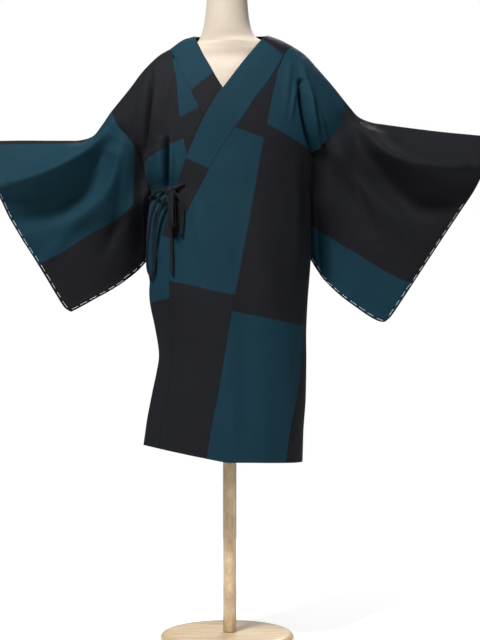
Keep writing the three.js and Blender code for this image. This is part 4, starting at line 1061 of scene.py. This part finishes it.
def build_body(half):
    front, back = strip_grid(half)
    fine = refined(refined(ranked(np.concatenate([front, back]), 0), 0), 1)
    grid, rank = fine[..., :3], fine[..., 3]
    past = rank - (len(front) - 1)
    grid = folded_round(half, grid, past > 0, smoothstep(np.abs(past), 0, RIDGE_FADE))
    add_cloth(half, "body", inset(grid, -SEAM_LAP, -SEAM_LAP), CLOTH_WALL, past > 0)


def build_okumi(half):
    grid = refined(refined(okumi_grid(half), 0), 1)
    grid = inset(folded(half, "front", grid), -SEAM_LAP, -SEAM_LAP)
    add_cloth(half, "okumi", grid, CLOTH_WALL, False)


def build_collar(half):
    grid = refined(refined(collar_grid(half), 0), 1)
    faced = folded(half, "front", grid)
    fade = smoothstep(-grid[..., 1], 0, COLLAR_FADE)[..., None]
    behind = grid[..., 1] > 0
    grid = inset(mix(grid, faced, fade), 0, -SEAM_LAP)
    grid[-1, :, 0] = SEAM_GAP / 2
    add_cloth(half, "collar", grid, COLLAR_WALL, behind)


def build_sleeve(half):
    strip = strip_grid(half)
    ring = sleeve_grid(half, strip)
    count = ring.shape[1]
    closed = ranked(np.concatenate([ring, ring[:, :1]], axis=1), 1)
    fine = refined(refined(closed, 1, edges=())[:, :-1], 0)
    grid, rank = fine[..., :3], fine[..., 3]
    bottom = len(sewn_edge(strip, "front")[0]) + len(SLEEVE_FREE_ROWS)
    to_fold = np.minimum(np.minimum(rank, count - rank), np.abs(rank - bottom))
    grid = folded_round(half, grid, rank > bottom, smoothstep(to_fold, 0, 1))
    add_cloth(half, "sleeve", grid, CLOTH_WALL, rank > bottom, ring=True)
    return grid, rank[0], bottom


# Basting along the sewn part of the cuffs and the bottom of the sleeves, through both layers.
STITCH_LENGTH = 17.0
STITCH_GAP = 6.5
STITCH_INSET = 5.5  # from the cuff's edge
FOLD_STITCH_INSET = 7.5  # from the bottom fold
STITCH_RANKS = (1.5, 8.5)  # the rows up from the bottom fold that the cuff's stitches span
STITCH_UNEVEN = 0.12
STITCH_STARTS = (3.0, 12.0)  # from the start of the lines on the front layer and the back one
THREAD_RADIUS = 0.33
THREAD_RINGS = 7
THREAD_SIDES = 6


def stitch_rings(line, out, first_gap):
    """Dashes of thread along a line on the cloth, each dipping into it at both ends."""
    lengths = lengths_along(line)
    turns = np.linspace(0, 2 * math.pi, THREAD_SIDES, endpoint=False)
    shares = np.linspace(0, 1, THREAD_RINGS)
    lift = CLOTH_WALL / 2 + THREAD_RADIUS * (0.7 - 1.8 * np.abs(2 * shares - 1) ** 6)
    dashes = []
    start = first_gap
    while start + STITCH_LENGTH < lengths[-1]:
        far = start + shares * STITCH_LENGTH * (1 + STITCH_UNEVEN * math.sin(start))
        centre = at_length(line, lengths, far)
        normal = unit(at_length(out, lengths, far))
        side = np.cross(unit(np.gradient(centre, axis=0)), normal)
        centre = centre + normal * lift[:, None]
        dashes.append([c + THREAD_RADIUS * (np.outer(np.cos(turns), n) + np.outer(np.sin(turns), s))
                       for c, n, s in zip(centre, normal, side)])
        start += STITCH_LENGTH + STITCH_GAP
    return dashes


def basting_lines(grid, ranks, bottom):
    """The lines of stitches on a sleeve's front and back layers, with their outward normals."""
    normals = grid_normals(grid, True)
    normals *= -np.sign(normals[len(grid) // 2, len(ranks) // 4, 1])
    seam = int(np.argmin(np.abs(ranks - bottom)))
    from_cuff = edge_lengths(grid[::-1], 0)
    low, high = STITCH_RANKS
    lines = []
    for side in (-1, 1):
        cuff = [(len(grid) - 1 - int(np.argmin(np.abs(from_cuff[:, j] - STITCH_INSET))), j)
                for j in range(len(ranks)) if low < (bottom - ranks[j]) * -side < high]
        around = edge_lengths(np.roll(grid, -seam, axis=1)[:, ::side], 1)[:, :20]
        up = np.argmin(np.abs(around - FOLD_STITCH_INSET), axis=1)
        lower = [(i, (seam + side * int(up[i])) % len(ranks))
                 for i in range(len(grid) // 12, len(grid) - 1)]
        for path in (cuff, lower):
            rows, columns = np.array(path).T
            lines.append((grid[rows, columns], normals[rows, columns]))
    return lines


def build_basting(half, grid, ranks, bottom):
    points, faces = [], []
    for n, (line, out) in enumerate(basting_lines(grid, ranks, bottom)):
        for dash in stitch_rings(line, out, STITCH_STARTS[n // 2]):
            skin = ring_faces(len(dash), THREAD_SIDES) + len(points)
            faces += skin.tolist()
            points.extend(np.concatenate(dash))
            faces.append(tuple(skin[:THREAD_SIDES, 0][::-1]))
            faces.append(tuple(skin[-THREAD_SIDES:, 3]))
    points = mirrored(np.array(points), half.sign)
    new_object(f"basting_{half.name}", points, faces, "basting_thread")


for half in HALVES.values():
    build_body(half)
    build_okumi(half)
    build_collar(half)
    build_basting(half, *build_sleeve(half))

# ---------------------------------------------------------------- the form


def loft(name, rings, slot, node):
    """A closed skin through rings of points, from the bottom up."""
    rings = np.array(rings)
    rows, columns = rings.shape[:2]
    points = np.concatenate([rings.reshape(-1, 3), rings[:1].mean(axis=1), rings[-1:].mean(axis=1)])
    low, high = rows * columns, rows * columns + 1
    faces = ring_faces(rows, columns).tolist()
    first, last = faces[:columns], faces[-columns:]
    faces += [(low, b, a) for a, b, _, _ in first] + [(high, d, c) for _, _, c, d in last]
    obj = new_object(name, points, faces, slot)
    obj.data.polygons.foreach_set("use_smooth", np.ones(len(faces), bool))
    make_outward(obj)
    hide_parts(node)
    return obj


def ellipse(mid, wide, deep, z, segments=96, full=None):
    """An ellipse; full is its depth at the middle where that isn't deep."""
    turn = np.linspace(0, 2 * math.pi, segments, endpoint=False)
    depth = mix(deep, deep if full is None else full, np.sin(turn) ** 2)
    return point(mid + wide * np.cos(turn), depth * np.sin(turn), z)


def build_form():
    rows = [(FORM_MID, wide, deep, z, deep) for z, wide, deep in FORM_SECTIONS]
    for wide, deep, under in SHOULDER_SECTIONS:
        z = min(ridge_height(SHOULDER_MID + wide), ridge_height(SHOULDER_MID - wide))
        rows.append((SHOULDER_MID, wide, deep, z - CLOTH_WALL / 2 - under, SHOULDER_FULL))
    rows += [(mid, wide, deep, z, deep) for z, wide, deep, mid in NECK_SECTIONS]
    fine = refined(np.array(rows)[:, None], 0, step=6, edges=())[:, 0]
    loft("torso", [ellipse(*row[:4], full=row[4]) for row in fine], "form_cover", "form_torso")

    foot, top = BASE_HEIGHT + SEAM_GAP, FORM_BOTTOM_Z - SEAM_GAP
    pole = [(foot, POLE_RADIUS - 1), (foot + 1, POLE_RADIUS - 0.3)]
    pole += [(z, POLE_RADIUS) for z in np.linspace(foot + 2, top - 2, 8)]
    pole += [(top - 1, POLE_RADIUS - 0.3), (top, POLE_RADIUS - 1)]
    loft("pole", [ellipse(FORM_MID, r, r, z, 48) for z, r in pole], "stand_wood", "form_pole")

    base = [(0, BASE_RADIUS - 3), (1, BASE_RADIUS - 1), (3, BASE_RADIUS), (9, BASE_RADIUS)]
    base += [(BASE_HEIGHT - BASE_ROUND * (1 - math.sin(turn)),
              BASE_RADIUS - BASE_ROUND * (1 - math.cos(turn)))
             for turn in np.linspace(0, math.pi / 2, 9)]
    base += [(BASE_HEIGHT, radius) for radius in (120, 90, 60, 30, 8)]
    loft("base", [ellipse(0, r, r, z, 120) for z, r in base], "stand_wood", "form_base")


build_form()

# ---------------------------------------------------------------- the tie


def off_front(row):
    """A place out from the over front's cloth, as the tie lies on it."""
    half = HALVES["left"]
    x, z, out = row
    place = on_front(half, x, z)
    away = np.array([place[0] / half.other(z) ** 2, place[1] / half.front(z) ** 2, 0])
    return place + unit(away) * out


def waist_place(row):
    angle, z, out = row
    wide = section["right"](z) + out
    deep = section["front"](z) - LAYER + out
    turn = math.radians(angle)
    return np.array([wide * math.sin(turn), -deep * math.cos(turn), z])


def cord_frames(line, standing):
    """Off a cord's flat side and along its width; it lies flat on the cloth or stands on edge."""
    tangents = unit(np.gradient(line, axis=0))
    flat = unit(line * (1, 1, 0))
    if standing:
        around = np.stack([-flat[:, 1], flat[:, 0], np.zeros(len(line))], -1)
        flat = np.cross(around, tangents)
    flat = unit(flat - tangents * np.sum(flat * tangents, -1, keepdims=True))
    return flat, np.cross(flat, tangents)


def add_cord(name, places, size=CORD_SIZE, bare_end=False, standing=False):
    """A flat sewn cord of cloth along its route; a bare end closes to a soft corner."""
    curve = Curve(places)
    length = curve.lengths[-1]
    count = max(12, int(length / CORD_STEP))
    line = curve.at(np.linspace(0, 1, count))
    half_width, half_depth = size
    turns = np.linspace(0, 2 * math.pi, CORD_SIDES, endpoint=False)
    across = np.sign(np.cos(turns)) * np.abs(np.cos(turns)) ** CORD_SQUARE
    rings = []
    for place, flat, side, far in zip(line, *cord_frames(line, standing),
                                      np.linspace(0, length, count)):
        closing = math.sqrt(min(1, (length - far) / CORD_CLOSING))
        end = mix(CORD_END, 1, closing) if bare_end else 1
        ruck = 1 + 0.06 * math.sin(far / 4.3) + 0.05 * math.sin(far / 2.1 + 1)
        rings.append(place + side * (half_width * end * across)[:, None]
                     + flat * (half_depth * end * ruck * np.sin(turns))[:, None])
    obj = loft(f"tie_cord_{name}", rings, "tie_cloth", f"tie_{name}")
    add_tube_uvs(obj, count, CORD_SIDES, length, half_width)


def add_tube_uvs(obj, rows, columns, length, half_width):
    u = np.tile(np.linspace(0, 4 * half_width, columns, endpoint=False), rows)
    v = np.repeat(np.linspace(0, length, rows), columns)
    set_uvs(obj, np.stack([np.append(u, [0, 0]), np.append(v, [0, length])], -1))


def add_knot():
    """The knot, a soft ball of cloth with a fold slantwise across it."""
    middle = off_front(TIE["knot"])
    wide, deep, high = KNOT_SIZE
    heading = math.atan2(middle[0], -middle[1])
    around = np.linspace(0, 2 * math.pi, KNOT_SIDES, endpoint=False)
    rings = []
    for tilt in np.linspace(KNOT_POLE, math.pi - KNOT_POLE, KNOT_RINGS):
        off_fold = np.sin(around + tilt * 1.2 - 0.6) / KNOT_FOLD_WIDTH
        girth = 1 - KNOT_FOLD * np.exp(-(off_fold**2))
        girth -= KNOT_LUMPS * np.sin(3 * tilt + 2 * around) ** 2
        x = wide * np.sin(tilt) * np.cos(around) * girth
        y = deep * np.sin(tilt) * np.sin(around) * girth
        rings.append(middle + point(x * math.cos(heading) - y * math.sin(heading),
                                    x * math.sin(heading) + y * math.cos(heading),
                                    -high * math.cos(tilt)))
    obj = loft("tie_wrap", rings, "tie_cloth", "tie_knot")
    add_tube_uvs(obj, KNOT_RINGS, KNOT_SIDES, *KNOT_FLAT)


add_cord("waist", [waist_place(row) for row in TIE["waist"]])
for name in ("lead", "loop_long"):
    add_cord(name, [off_front(row) for row in TIE[name]])
add_cord("loop_short", [off_front(row) for row in TIE["loop_short"]], BAND_SIZE, standing=True)
for name in ("tail_short", "tail_long"):
    add_cord(name, [off_front(row) for row in TIE[name]], bare_end=True)
add_knot()
